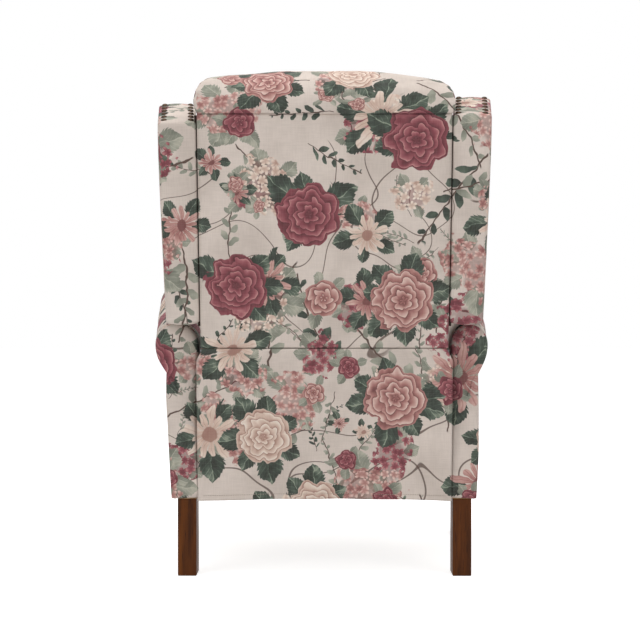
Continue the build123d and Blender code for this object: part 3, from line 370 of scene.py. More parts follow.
class FloralPrint:
    """A scattered print of layered blooms, leaf sprays, floret heads and stems."""

    wobble_cells = 38.0
    wobble_reach = 0.012
    floret_cells = 52.0
    floret_wander = 0.75
    vines = ((5.5, 0.5, 0.006), (4.3, 0.44, 0.0045))

    def __init__(self, desk: NodeDesk, place: bpy.types.NodeSocket, inks: FloralPalette) -> None:
        """Set up the hand-drawn wobble that every motif shares.

        Args:
            desk: the material's nodes.
            place: flat place on the cloth, in metres.
            inks: the print's colours.
        """
        self.desk = desk
        self.place = place
        self.inks = inks
        wobble = desk.noise(place, self.wobble_cells, 1.5, True)
        self.wobble = Field(desk, wobble.outputs["Fac"]) - 0.5
        shake = desk.vector("SUBTRACT", wobble.outputs["Color"], (0.5, 0.5, 0.5)).outputs[0]
        shift = desk.wire("ShaderNodeVectorMath", {0: shake, "Scale": self.wobble_reach}, operation="SCALE")
        self.warped = desk.vector("ADD", place, shift.outputs[0]).outputs[0]

    def cells(self, place: object, count: float, wander: float, feature: str = "F1") -> bpy.types.Node:
        """Add a texture of so many straying cells per metre."""
        given = {"Vector": place, "Scale": count, "Randomness": wander}
        return self.desk.wire("ShaderNodeTexVoronoi", given, voronoi_dimensions="2D", feature=feature)

    def around(self, place: object, cell: bpy.types.Node) -> Tuple[Field, Field, Tuple[Field, Field, Field]]:
        """Read a place from its cell's middle.

        Args:
            place: the place.
            cell: the cell texture.

        Returns:
            Distance from the middle, angle round it and the cell's three chances.
        """
        desk = self.desk
        offset = desk.vector("SUBTRACT", place, cell.outputs["Position"]).outputs[0]
        x, y, _ = desk.split(offset)
        chance = desk.split(cell.outputs["Color"])
        radius = Field(desk, desk.vector("LENGTH", offset).outputs["Value"])
        return radius, desk.math("ARCTAN2", y, x) + chance[0] * math.tau, chance

    def scatter(self, layer: Layer) -> Spot:
        """Strew a layer's cells over the cloth.

        Args:
            layer: the layer.

        Returns:
            The nearest cell's spot.
        """
        strewn = layer.value
        turned = {
            "Vector": self.warped,
            "Location": (strewn.shift, 1.7 * strewn.shift, 0.0),
            "Rotation": (0.0, 0.0, strewn.turn),
        }
        place = self.desk.wire("ShaderNodeMapping", turned).outputs[0]
        nearest = self.cells(place, strewn.cells, strewn.wander)
        room = self.cells(place, strewn.cells, strewn.wander, "N_SPHERE_RADIUS")
        radius, angle, chance = self.around(place, nearest)
        return Spot(radius, angle, Field(self.desk, room.outputs["Radius"]) / strewn.cells, chance)

    def bloom(self, spot: Spot, size: Field, lobes: float, rings: float) -> Tuple[Field, Field]:
        """Draw a full flower of overlapping petals.

        Args:
            spot: its cell.
            size: its radius.
            lobes: petals at the rim.
            rings: rows of petals.

        Returns:
            The flower's mask and its tone.
        """
        angle = spot.angle
        rim = 0.86 + 0.14 * abs((angle * (lobes / 2)).cos())
        out = spot.radius / size * (1.0 + 0.34 * self.wobble) / rim
        petal = abs((angle * 2.5 + out * 5.0 + spot.chance[1] * 6.0).sin())
        row = (out * rings - 0.6 * petal).fract()
        tone = row**0.8 * (0.42 + 0.58 * petal**0.5) + 0.25 * self.wobble
        heart = out.step(0.2, 0.08)
        return out.step(1.0, 0.98), tone * (1.0 - 0.7 * heart)

    def leaves(self, spot: Spot, inner: Field, outer: Field, count: float, width: float) -> Tuple[Field, Field]:
        """Draw toothed leaves round a spot.

        Args:
            spot: their cell.
            inner: distance of the stalk ends from the middle.
            outer: distance of the longest tips.
            count: places for leaves, some left empty.
            width: half width of a leaf as a share of its length.

        Returns:
            The leaves' mask and their tone.
        """
        desk = self.desk
        sector = spot.angle * (count / math.tau) + spot.chance[2] * 7.0
        index = sector.floor()
        dice = desk.node("ShaderNodeTexWhiteNoise", noise_dimensions="2D")
        desk.feed(dice.inputs["Vector"], desk.join(index, spot.chance[1] * 50.0))
        lot, tilt, show = desk.split(dice.outputs["Color"])
        swing = (sector - index - 0.5 + 0.3 * (tilt - 0.5)) * (math.tau / count)
        reach = outer * (0.72 + 0.28 * lot)
        along = (spot.radius * swing.cos() - inner) / (reach - inner)
        off = spot.radius * swing.sin() / (reach - inner) + 0.12 * (tilt - 0.5) * along
        side = abs(off)
        tooth = 1.0 + 0.22 * (along * 8.0 - side * 4.0).fract()
        half = width * (along * (1.0 - along)).step(0.0, 0.3) * tooth
        mask = (half - side).step(0.0, 0.02) * along.step(0.0, 0.05) * show.step(0.22, 0.24)
        vein = (along * 6.0 - side * 7.0).fract().step(0.25, 0.05)
        rib = side.step(0.02, 0.005)
        tone = 0.12 + 0.26 * off.step(-0.02, 0.02) + 0.22 * vein + 0.45 * rib + 0.3 * along
        return mask, tone + 1.3 * self.wobble

    def sprig(self, spot: Spot, length: Field, pairs: float) -> Tuple[Field, Field, Field]:
        """Draw a curved twig with pairs of tapering leaves.

        Args:
            spot: its cell.
            length: half its length.
            pairs: leaf pairs along half the length.

        Returns:
            Masks of leaves and stem, and the leaves' tone.
        """
        angle = spot.angle
        x = spot.radius * angle.cos() / length
        y = spot.radius * angle.sin() / length - 0.3 * x * x * (spot.chance[1] - 0.3)
        side = abs(y)
        stagger = y.step(0.001, -0.001) * 0.5
        start = (x * pairs + stagger).fract() / pairs
        size = x.step(-0.75, -0.4) * (1.1 - 0.38 * (x + 1.0))
        lean = math.radians(46)
        leaf = (start * math.cos(lean) + side * math.sin(lean)) / (size + 0.01) * (pairs / 1.3)
        off = abs(side * math.cos(lean) - start * math.sin(lean))
        half = (leaf * (1.0 - leaf)).step(0.0, 0.25) * size * (0.3 / pairs)
        within = abs(x).step(0.9, 0.86)
        mask = (half - off).step(0.0, 0.01) * within * leaf.step(1.0, 0.98)
        stem = side.step(0.018, 0.011) * abs(x).step(0.95, 0.9)
        return mask, stem * (1.0 - mask), 0.25 + leaf * 0.5 + self.wobble

    def daisy(self, spot: Spot, size: Field, petals: float) -> Tuple[Field, Field]:
        """Draw an open flower of narrow separate petals.

        Args:
            spot: its cell.
            size: its radius.
            petals: number of petals.

        Returns:
            The flower's mask and its tone.
        """
        turn = spot.angle * (petals / math.tau) + spot.chance[1]
        across = abs(turn.fract() - 0.5)
        out = spot.radius / size * (1.0 + 0.3 * self.wobble)
        length = 0.84 + 0.16 * (turn.floor() * 2.4).sin()
        petal = (0.47 - 0.32 * (out / length) ** 5.0 - across).step(0.0, 0.06) * (length - out).step(0.0, 0.03)
        heart = out.step(0.27, 0.22)
        tone = 0.25 + 0.55 * out + 0.3 * (0.25 - across) - 0.25 * across.step(0.08, 0.02) + 0.5 * self.wobble
        return self.desk.math("MAXIMUM", petal, heart), tone * (1.0 - 0.85 * heart)

    def florets(self) -> Tuple[Field, Field]:
        """Draw tiny five-petalled flowers all over, to show through a cluster's mask.

        Returns:
            The flowers' mask and their tone.
        """
        cell = self.cells(self.warped, self.floret_cells, self.floret_wander)
        radius, angle, chance = self.around(self.warped, cell)
        radius = radius * self.floret_cells
        petal = abs((angle * 2.5).sin())
        mask = (0.34 + 0.26 * petal - radius).step(0.0, 0.05)
        return mask, 0.15 + 0.55 * petal * radius.step(0.05, 0.5) + 0.35 * chance[1]

    def cover(self, picture: object, mask: Field, tone: Field, stops: Stops) -> object:
        """Lay a motif in its inks over the picture."""
        return self.desk.blend(mask, picture, self.desk.ramp(tone, stops))

    def pick(self, chance: Field, level: float, below: object, above: object) -> object:
        """Take the second colour in the cells whose chance is past a level."""
        return self.desk.blend(chance.step(level, level + 0.01), below, above)

    def wreathe(self, picture: object, spot: Spot, wreath: Wreath, stops: Stops, shown: Value = 1.0) -> object:
        """Lay a motif's leaves.

        Args:
            picture: what they lie on.
            spot: the motif's cell.
            wreath: their layout.
            stops: their inks.
            shown: one where they show.

        Returns:
            The picture with the leaves.
        """
        inner, outer, count, width = wreath.value
        mask, shade = self.leaves(spot, spot.reach * inner, spot.reach * outer, count, width)
        return self.cover(picture, mask * shown, shade, stops)

    def lay_twigs(self, picture: object) -> object:
        """Lay thin wandering stems and leafy sprigs.

        Args:
            picture: what they lie on.

        Returns:
            The picture with them.
        """
        desk, inks = self.desk, self.inks
        stem_ink = linear(inks.stem)
        for scale, level, width in self.vines:
            wander = desk.cloud(self.place, scale, 0.6, True)
            patch = desk.cloud(self.place, 0.6 * scale, 0.0, True).step(0.46, 0.49)
            vine = abs(wander - level).step(width, 0.5 * width) * patch
            picture = desk.blend(vine * 0.85, picture, stem_ink)
        sprigs = (
            (Layer.PALE_SPRIGS, inks.sage, 3.5),
            (Layer.DARK_SPRIGS, inks.green, 3.0),
            (Layer.LATE_SPRIGS, inks.sage, 3.5),
        )
        for layer, stops, pairs in sprigs:
            spot = self.scatter(layer)
            mask, stem, tone = self.sprig(spot, spot.reach * 1.25, pairs)
            picture = desk.blend(stem, picture, stem_ink)
            picture = self.cover(picture, mask, tone, stops)
        return picture

    def lay_clusters(self, picture: object) -> object:
        """Lay heads of small florets with pale leaves behind them.

        Args:
            picture: what they lie on.

        Returns:
            The picture with them.
        """
        desk, inks = self.desk, self.inks
        floret, tone = self.florets()
        layers = ((Layer.PINK_CLUSTERS, inks.pink, inks.wine), (Layer.CREAM_CLUSTERS, inks.cream, inks.pink))
        for layer, pale, deep in layers:
            spot = self.scatter(layer)
            picture = self.wreathe(picture, spot, Wreath.CLUSTER, inks.sage)
            size = spot.reach * (0.66 + 0.14 * (spot.angle * 2.0).sin())
            out = spot.radius / size + self.wobble * 0.9
            hue = self.pick(spot.chance[2], 0.45, desk.ramp(tone, pale), desk.ramp(tone, deep))
            picture = self.cover(picture, out.step(0.9, 0.5) * 0.55, tone * 0.3, deep)
            picture = desk.blend(out.step(1.0, 0.93) * floret, picture, hue)
        return picture

    def lay_blooms(self, picture: object) -> object:
        """Lay open flowers, small blooms and the large ones in their rings of dark leaves.

        Args:
            picture: what they lie on.

        Returns:
            The picture with them.
        """
        desk, inks = self.desk, self.inks
        spot = self.scatter(Layer.DAISIES)
        picture = self.wreathe(picture, spot, Wreath.DAISY, inks.green)
        mask, tone = self.daisy(spot, spot.reach * 0.68, 13.0)
        hue = self.pick(spot.chance[2], 0.6, desk.ramp(tone, inks.cream), desk.ramp(tone, inks.pink))
        picture = desk.blend(mask, picture, hue)
        spot = self.scatter(Layer.SMALL_BLOOMS)
        shown = spot.chance[2].step(0.45, 0.46)
        picture = self.wreathe(picture, spot, Wreath.SMALL, inks.sage, shown)
        mask, tone = self.bloom(spot, spot.reach * 0.52, 5.0, 3.0)
        hue = self.pick(spot.chance[1], 0.5, desk.ramp(tone, inks.pink), desk.ramp(tone, inks.wine))
        picture = desk.blend(mask * shown, picture, hue)
        spot = self.scatter(Layer.LARGE_BLOOMS)
        picture = self.wreathe(picture, spot, Wreath.LARGE, inks.green)
        mask, tone = self.bloom(spot, spot.reach * 0.64, 7.0, 5.0)
        hue = self.pick(spot.chance[2], 0.4, desk.ramp(tone, inks.cream), desk.ramp(tone, inks.pink))
        hue = self.pick(spot.chance[2], 0.72, hue, desk.ramp(tone, inks.wine))
        return desk.blend(mask, picture, hue)

    def colour(self) -> object:
        """Print the whole cloth.

        Returns:
            The colour socket.
        """
        mottle = self.desk.cloud(self.place, 9.0, 3.0, True).step(0.3, 0.75)
        picture = self.desk.blend(mottle, linear(self.inks.ground), linear(self.inks.ground_shade))
        return self.lay_blooms(self.lay_clusters(self.lay_twigs(picture)))


@dataclass(frozen=True)
class Finish:
    """A surface finish: a name, an even roughness and a metal share."""

    name: str
    roughness: float = 0.6
    metallic: float = 0.0

    def material(self) -> bpy.types.Material:
        """Make the finish's material.

        Returns:
            The new material.
        """
        made = bpy.data.materials.new(self.name)
        made.use_nodes = True
        desk = NodeDesk(made.node_tree)
        shader = made.node_tree.nodes["Principled BSDF"]
        shader.inputs["Roughness"].default_value = self.roughness
        shader.inputs["Metallic"].default_value = self.metallic
        self.paint(desk, shader)
        return made

    def paint(self, desk: NodeDesk, shader: bpy.types.Node) -> None:
        """Lay the finish's colour and relief; each finish has its own."""
        raise NotImplementedError

    def solid_place(self, desk: NodeDesk) -> bpy.types.NodeSocket:
        """Place inside the piece, in metres."""
        return desk.node("ShaderNodeTexCoord").outputs["Object"]


@dataclass(frozen=True)
class PrintedCloth(Finish):
    """Linen-look cotton with a scattered floral print."""

    roughness: float = 0.88
    sheen: float = 0.05
    sheen_roughness: float = 0.45
    gloss: float = 0.25
    threads: float = 900.0
    inks: FloralPalette = FloralPalette()

    def paint(self, desk: NodeDesk, shader: bpy.types.Node) -> None:
        """Print the cloth and weave it.

        Args:
            desk: the material's nodes.
            shader: the surface shader.
        """
        chart = desk.node("ShaderNodeUVMap", uv_map=CHART_NAME).outputs[0]
        picture = FloralPrint(desk, chart, self.inks).colour()
        x, y, _ = desk.split(chart)
        warp = abs((x * (self.threads * math.pi)).sin())
        weft = abs((y * (self.threads * math.pi)).sin())
        slub_across = desk.cloud(desk.stretch(chart, (30.0, 420.0, 1.0)), 1.0, 2.0, True)
        slub_along = desk.cloud(desk.stretch(chart, (420.0, 30.0, 1.0)), 1.0, 2.0, True)
        slub = (slub_across + slub_along) * 0.5
        faded = desk.blend(slub.step(0.35, 0.65) * 0.07, picture, linear(self.inks.ground))
        worn = desk.blend(slub.step(0.6, 0.4) * 0.09, faded, linear(self.inks.slub))
        desk.feed(shader.inputs["Base Color"], worn)
        soft = desk.bump(desk.cloud(chart, 14.0, 2.0, True), 0.0025)
        desk.feed(shader.inputs["Normal"], desk.bump(warp * weft * 0.5 + slub * 0.5, 0.0004, soft))
        shader.inputs["Sheen Weight"].default_value = self.sheen
        shader.inputs["Sheen Roughness"].default_value = self.sheen_roughness
        shader.inputs["Specular IOR Level"].default_value = self.gloss


@dataclass(frozen=True)
class GrainedWood(Finish):
    """Wood with long grain, pores and an uneven stain."""

    stops: Stops = ((0.0, (60, 36, 22)), (1.0, (110, 72, 45)))
    run: Tuple[float, float, float] = (70.0, 70.0, 5.0)
    plies: float = 0.0
    gloss: float = 0.14

    def paint(self, desk: NodeDesk, shader: bpy.types.Node) -> None:
        """Lay the grain along the piece.

        Args:
            desk: the material's nodes.
            shader: the surface shader.
        """
        place = self.solid_place(desk)
        grain = desk.cloud(desk.stretch(place, self.run), 1.0, 5.0)
        figure = desk.cloud(desk.stretch(place, [part * 0.25 for part in self.run]), 1.0, 2.0)
        pores = desk.cloud(desk.stretch(place, [part * 6.0 for part in self.run]), 1.0, 1.0).step(0.62, 0.72)
        tone = grain.step(0.25, 0.75) * 0.65 + figure * 0.5 - 0.18
        if self.plies:
            x, _, _ = desk.split(place)
            tone = tone + abs((x * self.plies).sin()) * 0.2
        desk.feed(shader.inputs["Base Color"], desk.ramp(tone - pores * 0.25, self.stops))
        desk.feed(shader.inputs["Roughness"], (1.0 - grain) * 0.22 + (self.roughness - 0.1))
        shader.inputs["Specular IOR Level"].default_value = self.gloss
        desk.feed(shader.inputs["Normal"], desk.bump(grain * 0.6 - pores * 0.4, 0.0005))


@dataclass(frozen=True)
class WorkedMetal(Finish):
    """Rolled or plated metal with fine scratches and a cloudy tone."""

    metallic: float = 1.0
    dark: Rgb = (60, 60, 62)
    light: Rgb = (110, 110, 112)
    scratch: float = 260.0

    def paint(self, desk: NodeDesk, shader: bpy.types.Node) -> None:
        """Lay clouds and scratches.

        Args:
            desk: the material's nodes.
            shader: the surface shader.
        """
        place = self.solid_place(desk)
        cloud = desk.cloud(place, 45.0, 4.0)
        scored = desk.cloud(desk.stretch(place, (self.scratch, self.scratch * 0.06, self.scratch)), 1.0, 2.0)
        tone = cloud * 0.6 + scored * 0.5 - 0.05
        desk.feed(shader.inputs["Base Color"], desk.ramp(tone, ((0.2, self.dark), (0.85, self.light))))
        desk.feed(shader.inputs["Roughness"], scored * 0.25 + (self.roughness - 0.12))
        desk.feed(shader.inputs["Normal"], desk.bump(scored, 0.0001))


@dataclass(frozen=True)
class MouldedNylon(Finish):
    """Moulded off-white nylon, faintly mottled."""

    roughness: float = 0.42
    dark: Rgb = (206, 203, 192)
    light: Rgb = (228, 226, 216)

    def paint(self, desk: NodeDesk, shader: bpy.types.Node) -> None:
        """Mottle the nylon and rub it where it slides.

        Args:
            desk: the material's nodes.
            shader: the surface shader.
        """
        place = self.solid_place(desk)
        mottle = desk.cloud(place, 120.0, 3.0)
        rub = desk.cloud(desk.stretch(place, (300.0, 12.0, 300.0)), 1.0, 2.0)
        desk.feed(shader.inputs["Base Color"], desk.ramp(mottle, ((0.2, self.dark), (0.8, self.light))))
        desk.feed(shader.inputs["Roughness"], rub * 0.3 + (self.roughness - 0.14))
        desk.feed(shader.inputs["Normal"], desk.bump(mottle, 0.0001))


@dataclass(frozen=True)
class WovenBand(Finish):
    """Coarse woven webbing or plain lining cloth."""

    roughness: float = 0.92
    dark: Rgb = (92, 78, 58)
    light: Rgb = (150, 132, 102)
    threads: float = 420.0

    def paint(self, desk: NodeDesk, shader: bpy.types.Node) -> None:
        """Weave the band over and under.

        Args:
            desk: the material's nodes.
            shader: the surface shader.
        """
        place = self.solid_place(desk)
        x, y, z = desk.split(place)
        over = (x * (self.threads * math.pi)).sin() * ((z + y) * (self.threads * math.pi)).sin()
        fuzz = desk.cloud(place, 220.0, 3.0)
        tone = abs(over) * 0.6 + fuzz * 0.5
        desk.feed(shader.inputs["Base Color"], desk.ramp(tone, ((0.15, self.dark), (0.85, self.light))))
        desk.feed(shader.inputs["Normal"], desk.bump(tone, 0.0006))


class Slot(Enum):
    """The record's material slots."""

    UPHOLSTERY = "upholstery"
    LEG_WOOD = "leg_wood"
    FRAME_WOOD = "frame_wood"
    PLYWOOD = "plywood"
    MECHANISM = "mechanism_steel"
    BRIGHT = "bright_steel"
    NYLON = "glide_nylon"
    WEBBING = "webbing"
    LINING = "lining"


class FinishRack:
    """Makes every finish once and hands it out by slot."""

    def __init__(self) -> None:
        """Make the materials."""
        pale = ((0.0, (150, 116, 78)), (0.5, (184, 150, 108)), (1.0, (214, 184, 142)))
        ply = ((0.0, (160, 126, 86)), (0.5, (196, 164, 120)), (1.0, (222, 196, 156)))
        dark = ((0.0, (52, 24, 5)), (0.45, (86, 44, 10)), (1.0, (118, 66, 20)))
        finishes = {
            Slot.UPHOLSTERY: PrintedCloth("printed_cotton"),
            Slot.LEG_WOOD: GrainedWood("dark_stained_legs", 0.46, stops=dark),
            Slot.FRAME_WOOD: GrainedWood("sawn_frame_wood", 0.7, stops=pale, run=(6.0, 60.0, 60.0)),
            Slot.PLYWOOD: GrainedWood("plain_plywood", 0.68, stops=ply, run=(60.0, 5.0, 40.0), plies=1050.0),
            Slot.MECHANISM: WorkedMetal("black_zinc", 0.48, dark=(42, 42, 44), light=(88, 88, 91)),
            Slot.BRIGHT: WorkedMetal("bright_steel", 0.36, dark=(132, 132, 134), light=(196, 196, 194)),
            Slot.NYLON: MouldedNylon("glide_nylon"),
            Slot.WEBBING: WovenBand("jute_webbing"),
            Slot.LINING: WovenBand("black_lining", dark=(20, 20, 21), light=(48, 47, 47), threads=800.0),
        }
        self.materials: Dict[Slot, bpy.types.Material] = {
            slot: finish.material() for slot, finish in finishes.items()
        }
        self.nail_bronze = WorkedMetal(
            "nail_bronze", 0.42, 0.9, dark=(30, 22, 18), light=(92, 72, 56), scratch=500.0
        ).material()
        # Dark brown cloth for the gaps beside the outer back: painted shade, not a real lining.
        self.gap_shade_cloth = WovenBand("painted_gap_shade", dark=(30, 21, 17), light=(70, 52, 43), threads=800.0).material()
        self.thread = WovenBand(
            "sewing_thread", dark=(150, 134, 120), light=(206, 192, 178), threads=1500.0
        ).material()


def lay_grid(bm: bmesh.types.BMesh, across: int, along: int, place: Place, chart: Chart) -> None:
    """Lay a grid over a surface that is given by two shares of 0 to 1.

    Args:
        bm: mesh that gets the grid.
        across: faces along the first share.
        along: faces along the second share.
        place: gives the point for two shares.
        chart: gives the cloth's place in metres for a corner's shares and its face's middle shares.
    """
    made = bmesh.ops.create_grid(bm, x_segments=across, y_segments=along, size=0.5)
    shares = {vert: (vert.co.x + 0.5, vert.co.y + 0.5) for vert in made["verts"]}
    layer = bm.loops.layers.uv.get(CHART_NAME) or bm.loops.layers.uv.new(CHART_NAME)
    for face in {face for vert in made["verts"] for face in vert.link_faces}:
        middle = face.calc_center_median()
        for corner in face.loops:
            corner[layer].uv = chart(*shares[corner.vert], middle.x + 0.5, middle.y + 0.5)
    for vert, (u, v) in shares.items():
        vert.co = place(u, v)


def close_shell(bm: bmesh.types.BMesh) -> None:
    """Merge what meets and turn a closed shell's faces outward."""
    bmesh.ops.remove_doubles(bm, verts=bm.verts, dist=MERGE_GAP)
    bmesh.ops.dissolve_degenerate(bm, edges=bm.edges, dist=0.1 * MERGE_GAP)
    bmesh.ops.recalc_face_normals(bm, faces=bm.faces)


def face_away(bm: bmesh.types.BMesh, middle: Vector) -> None:
    """Turn an open sheet's faces away from a point behind it."""
    bm.normal_update()
    lean = sum(face.normal.dot(face.calc_center_median() - middle) * face.calc_area() for face in bm.faces)
    if lean < 0:
        bmesh.ops.reverse_faces(bm, faces=bm.faces)


def make_piece(bm: bmesh.types.BMesh, name: str, material: bpy.types.Material) -> bpy.types.Object:
    """Turn a finished bmesh into an object of the scene.

    Args:
        bm: the mesh, which is freed.
        name: the piece's name.
        material: its finish.

    Returns:
        The new object.
    """
    mesh = bpy.data.meshes.new(name)
    bm.normal_update()
    bm.to_mesh(mesh)
    bm.free()
    mesh.shade_smooth()
    mesh.materials.append(material)
    piece = bpy.data.objects.new(name, mesh)
    bpy.context.scene.collection.objects.link(piece)
    return piece


def thicken(piece: bpy.types.Object, thick: float) -> None:
    """Give a sheet its thickness behind its face."""
    wall = piece.modifiers.new("cloth_and_padding", "SOLIDIFY")
    wall.thickness = thick
    wall.offset = -1.0


def sew_sheet(
    name: str, faces: Tuple[int, int], place: Place, chart: Chart, behind: Vector,
    material: bpy.types.Material, thick: float,
) -> bpy.types.Object:
    """Sew a sheet or a padded panel.

    Args:
        name: the piece's name.
        faces: faces across and along.
        place: gives the point for two shares.
        chart: gives the cloth's place for a corner.
        behind: a point behind its face.
        material: its finish.
        thick: its thickness.

    Returns:
        The new piece.
    """
    bm = bmesh.new()
    lay_grid(bm, *faces, place, chart)
    bmesh.ops.remove_doubles(bm, verts=bm.verts, dist=MERGE_GAP)
    face_away(bm, behind)
    piece = make_piece(bm, name, material)
    thicken(piece, thick)
    return piece


def soften(piece: bpy.types.Object) -> None:
    """Smooth a piece with one subdivision."""
    rounder = piece.modifiers.new("rounding", "SUBSURF")
    rounder.levels = 1
    rounder.render_levels = 1


def evaluated_mesh(piece: bpy.types.Object) -> bpy.types.Mesh:
    """Copy a piece's mesh with its modifiers applied."""
    graph = bpy.context.evaluated_depsgraph_get()
    return bpy.data.meshes.new_from_object(piece.evaluated_get(graph), depsgraph=graph)


def settle(piece: bpy.types.Object, body: str, nodes: Sequence[str], slot: Slot) -> None:
    """Hang a piece on its body in place of the solids that it stands for.

    Args:
        piece: the piece.
        body: body that it moves with.
        nodes: solids that it replaces.
        slot: not used.
    """
    if nodes:
        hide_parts(*nodes)
    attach(piece, body)
    LOG.info("%s: %d faces on %s", piece.name, len(piece.data.polygons), body)


@dataclass(frozen=True)
class Outline:
    """A closed outline of straight runs with rounded corners, given as (x, y, radius)."""

    corners: Tuple[Tuple[float, float, float], ...]
    steps: int = 10

    def points(self) -> List[Vector]:
        """Walk the outline.

        Returns:
            Points along it, rounded corners included.
        """
        made: List[Vector] = []
        count = len(self.corners)
        for index, (x, y, radius) in enumerate(self.corners):
            here = Vector((x, y))
            before = Vector(self.corners[index - 1][:2]) - here
            after = Vector(self.corners[(index + 1) % count][:2]) - here
            half = before.angle(after) / 2
            reach = radius / math.tan(half)
            middle = here + (before.normalized() + after.normalized()).normalized() * (radius / math.sin(half))
            first = here + before.normalized() * reach - middle
            sweep = first.angle_signed(here + after.normalized() * reach - middle)
            for step in range(self.steps + 1):
                turned = first.copy()
                turned.rotate(Matrix.Rotation(-sweep * step / self.steps, 2))
                made.append(middle + turned)
        return made


class Track:
    """A closed row of points that is read by its running length."""

    def __init__(self, points: Sequence[Vector]) -> None:
        """Measure the row.

        Args:
            points: its points, not repeated at the end.
        """
        self.points = list(points) + [points[0]]
        self.marks = [0.0]
        for start, end in zip(self.points, self.points[1:]):
            self.marks.append(self.marks[-1] + (end - start).length)
        self.length = self.marks[-1]

    def at(self, run: float) -> Vector:
        """Point at a running length.

        Args:
            run: length from the start, taken round and round.

        Returns:
            The point.
        """
        run = run % self.length
        low, high = 0, len(self.marks) - 1
        while high - low > 1:
            middle = (low + high) // 2
            if self.marks[middle] <= run:
                low = middle
            else:
                high = middle
        span = self.marks[high] - self.marks[low]
        return self.points[low].lerp(self.points[high], (run - self.marks[low]) / span if span else 0.0)

    def outward(self, run: float) -> Vector:
        """Direction out of the outline at a running length, smoothed over a few millimetres."""
        ahead = self.at(run + 0.004) - self.at(run - 0.004)
        return Vector((-ahead.y, ahead.x)).normalized()


def longest_loop(bm: bmesh.types.BMesh) -> List[Vector]:
    """Order the points of the longest loop among loose edges.

    Args:
        bm: mesh that holds only loose loops.

    Returns:
        The loop's points in turn, from its lowest coordinates on and always the same way round.
    """
    left = set(bm.verts)
    best: List[Vector] = []
    while left:
        vert = left.pop()
        loop = [vert]
        ahead: Optional[bmesh.types.BMVert] = vert
        while ahead is not None:
            joined = [edge.other_vert(ahead) for edge in ahead.link_edges]
            ahead = next((other for other in joined if other in left), None)
            if ahead is not None:
                left.remove(ahead)
                loop.append(ahead)
        if len(loop) > len(best):
            best = [each.co.copy() for each in loop]
    start = min(range(len(best)), key=lambda index: tuple(best[index]))
    first, *others = best[start:] + best[:start]
    if tuple(others[-1]) < tuple(others[0]):
        others.reverse()
    return [first] + others


@dataclass(frozen=True)
class BackFrame:
    """The leaning frame of the back: x across, y rearward, z up along it, zero at the rear seam."""

    seam_y: float = 0.314
    seam_z: float = 0.486
    lean: float = math.radians(11.5)

    def point(self, x: float, y: float, z: float) -> Vector:
        """Place a point of the back in the chair's frame."""
        c, s = math.cos(self.lean), math.sin(self.lean)
        return Vector((x, self.seam_y + y * c + z * s, self.seam_z + z * c - y * s))

    def local(self, spot: Vector) -> Vector:
        """Read a point of the chair in the back's frame."""
        c, s = math.cos(self.lean), math.sin(self.lean)
        y, z = spot.y - self.seam_y, spot.z - self.seam_z
        return Vector((spot.x, y * c - z * s, y * s + z * c))


BACK = BackFrame()
BACK_HEART = BACK.point(0, -0.3, 0.24)


@dataclass
class OuterBack:
    """The flat upholstered panel behind the sitter, between the wings."""

    rack: FinishRack
    half: float = 0.2585
    height: float = 0.4852
    crown: float = 0.004
    rounding: float = 0.004
    end_rounding: float = 0.0012
    seam_lap: float = 0.001
    thick: float = 0.008

    def place(self, u: float, v: float) -> Vector:
        """Point of the panel's face.

        Args:
            u: share across.
            v: share up.

        Returns:
            The point.
        """
        x = self.half * (2 * u - 1)
        z = -self.seam_lap + (self.height + self.seam_lap) * v
        side = self.half - abs(x)
        end = min(z + self.seam_lap, self.height - z)
        bulge = self.crown * ease(0.0, 0.09, side) * ease(0.0, 0.07, end)
        drop = edge_drop(side, self.rounding) + edge_drop(end, self.end_rounding)
        pucker = 0.0011 * ripple(Vector((x, z, 0)), 21.0, 3.0) * ease(0.09, 0.0, min(side, end))
        soft = 0.0012 * ripple(Vector((x, z, 0)), 6.0, 9.0)
        return BACK.point(x, bulge - drop + pucker + soft - 0.001, z)

    def build(self) -> None:
        """Sew the panel and set it on the back."""
        panel = sew_sheet(
            "outer_back_panel", (84, 130), self.place,
            lambda u, v, mu, mv: (self.half * (2 * u - 1), self.height * v),
            BACK_HEART, self.rack.materials[Slot.UPHOLSTERY], self.thick,
        )
        settle(panel, "back", ["back_outer_panel"], Slot.UPHOLSTERY)


@dataclass
class GapShadeStrip:
    """Dark cloth folded into the narrow gaps between the outer back and the wings: painted shade that darkens the
    shadow lines there.
    """

    rack: FinishRack
    inner: float = 0.2535
    outer: float = 0.2635
    depth: float = 0.009
    trough: float = 0.003
    bottom: float = 0.045
    top: float = 0.482
    slack: float = 0.002
    thick: float = 0.001

    def build(self) -> None:
        """Fold a dark strip of painted shade into each gap."""
        for sign in SIDES:

            def place(u: float, v: float) -> Vector:
                """Point of the strip, sunk in a shallow trough."""
                waver = 0.0005 * ripple(Vector((0.0, v * 12, sign)), 1.0, 2.0)
                x = self.inner + (self.outer - self.inner) * u
                sunk = self.depth + self.trough * math.sin(math.pi * u) + waver
                return BACK.point(sign * x, -sunk, self.bottom + (self.top - self.bottom) * v)

            strip = sew_sheet(
                f"gap_shade_strip_{side_name(sign)}", (6, 60), place, lambda u, v, mu, mv: (0.013 * u, 0.44 * v),
                BACK_HEART, self.rack.gap_shade_cloth, self.thick,
            )
            settle(strip, "back", [], Slot.LINING)


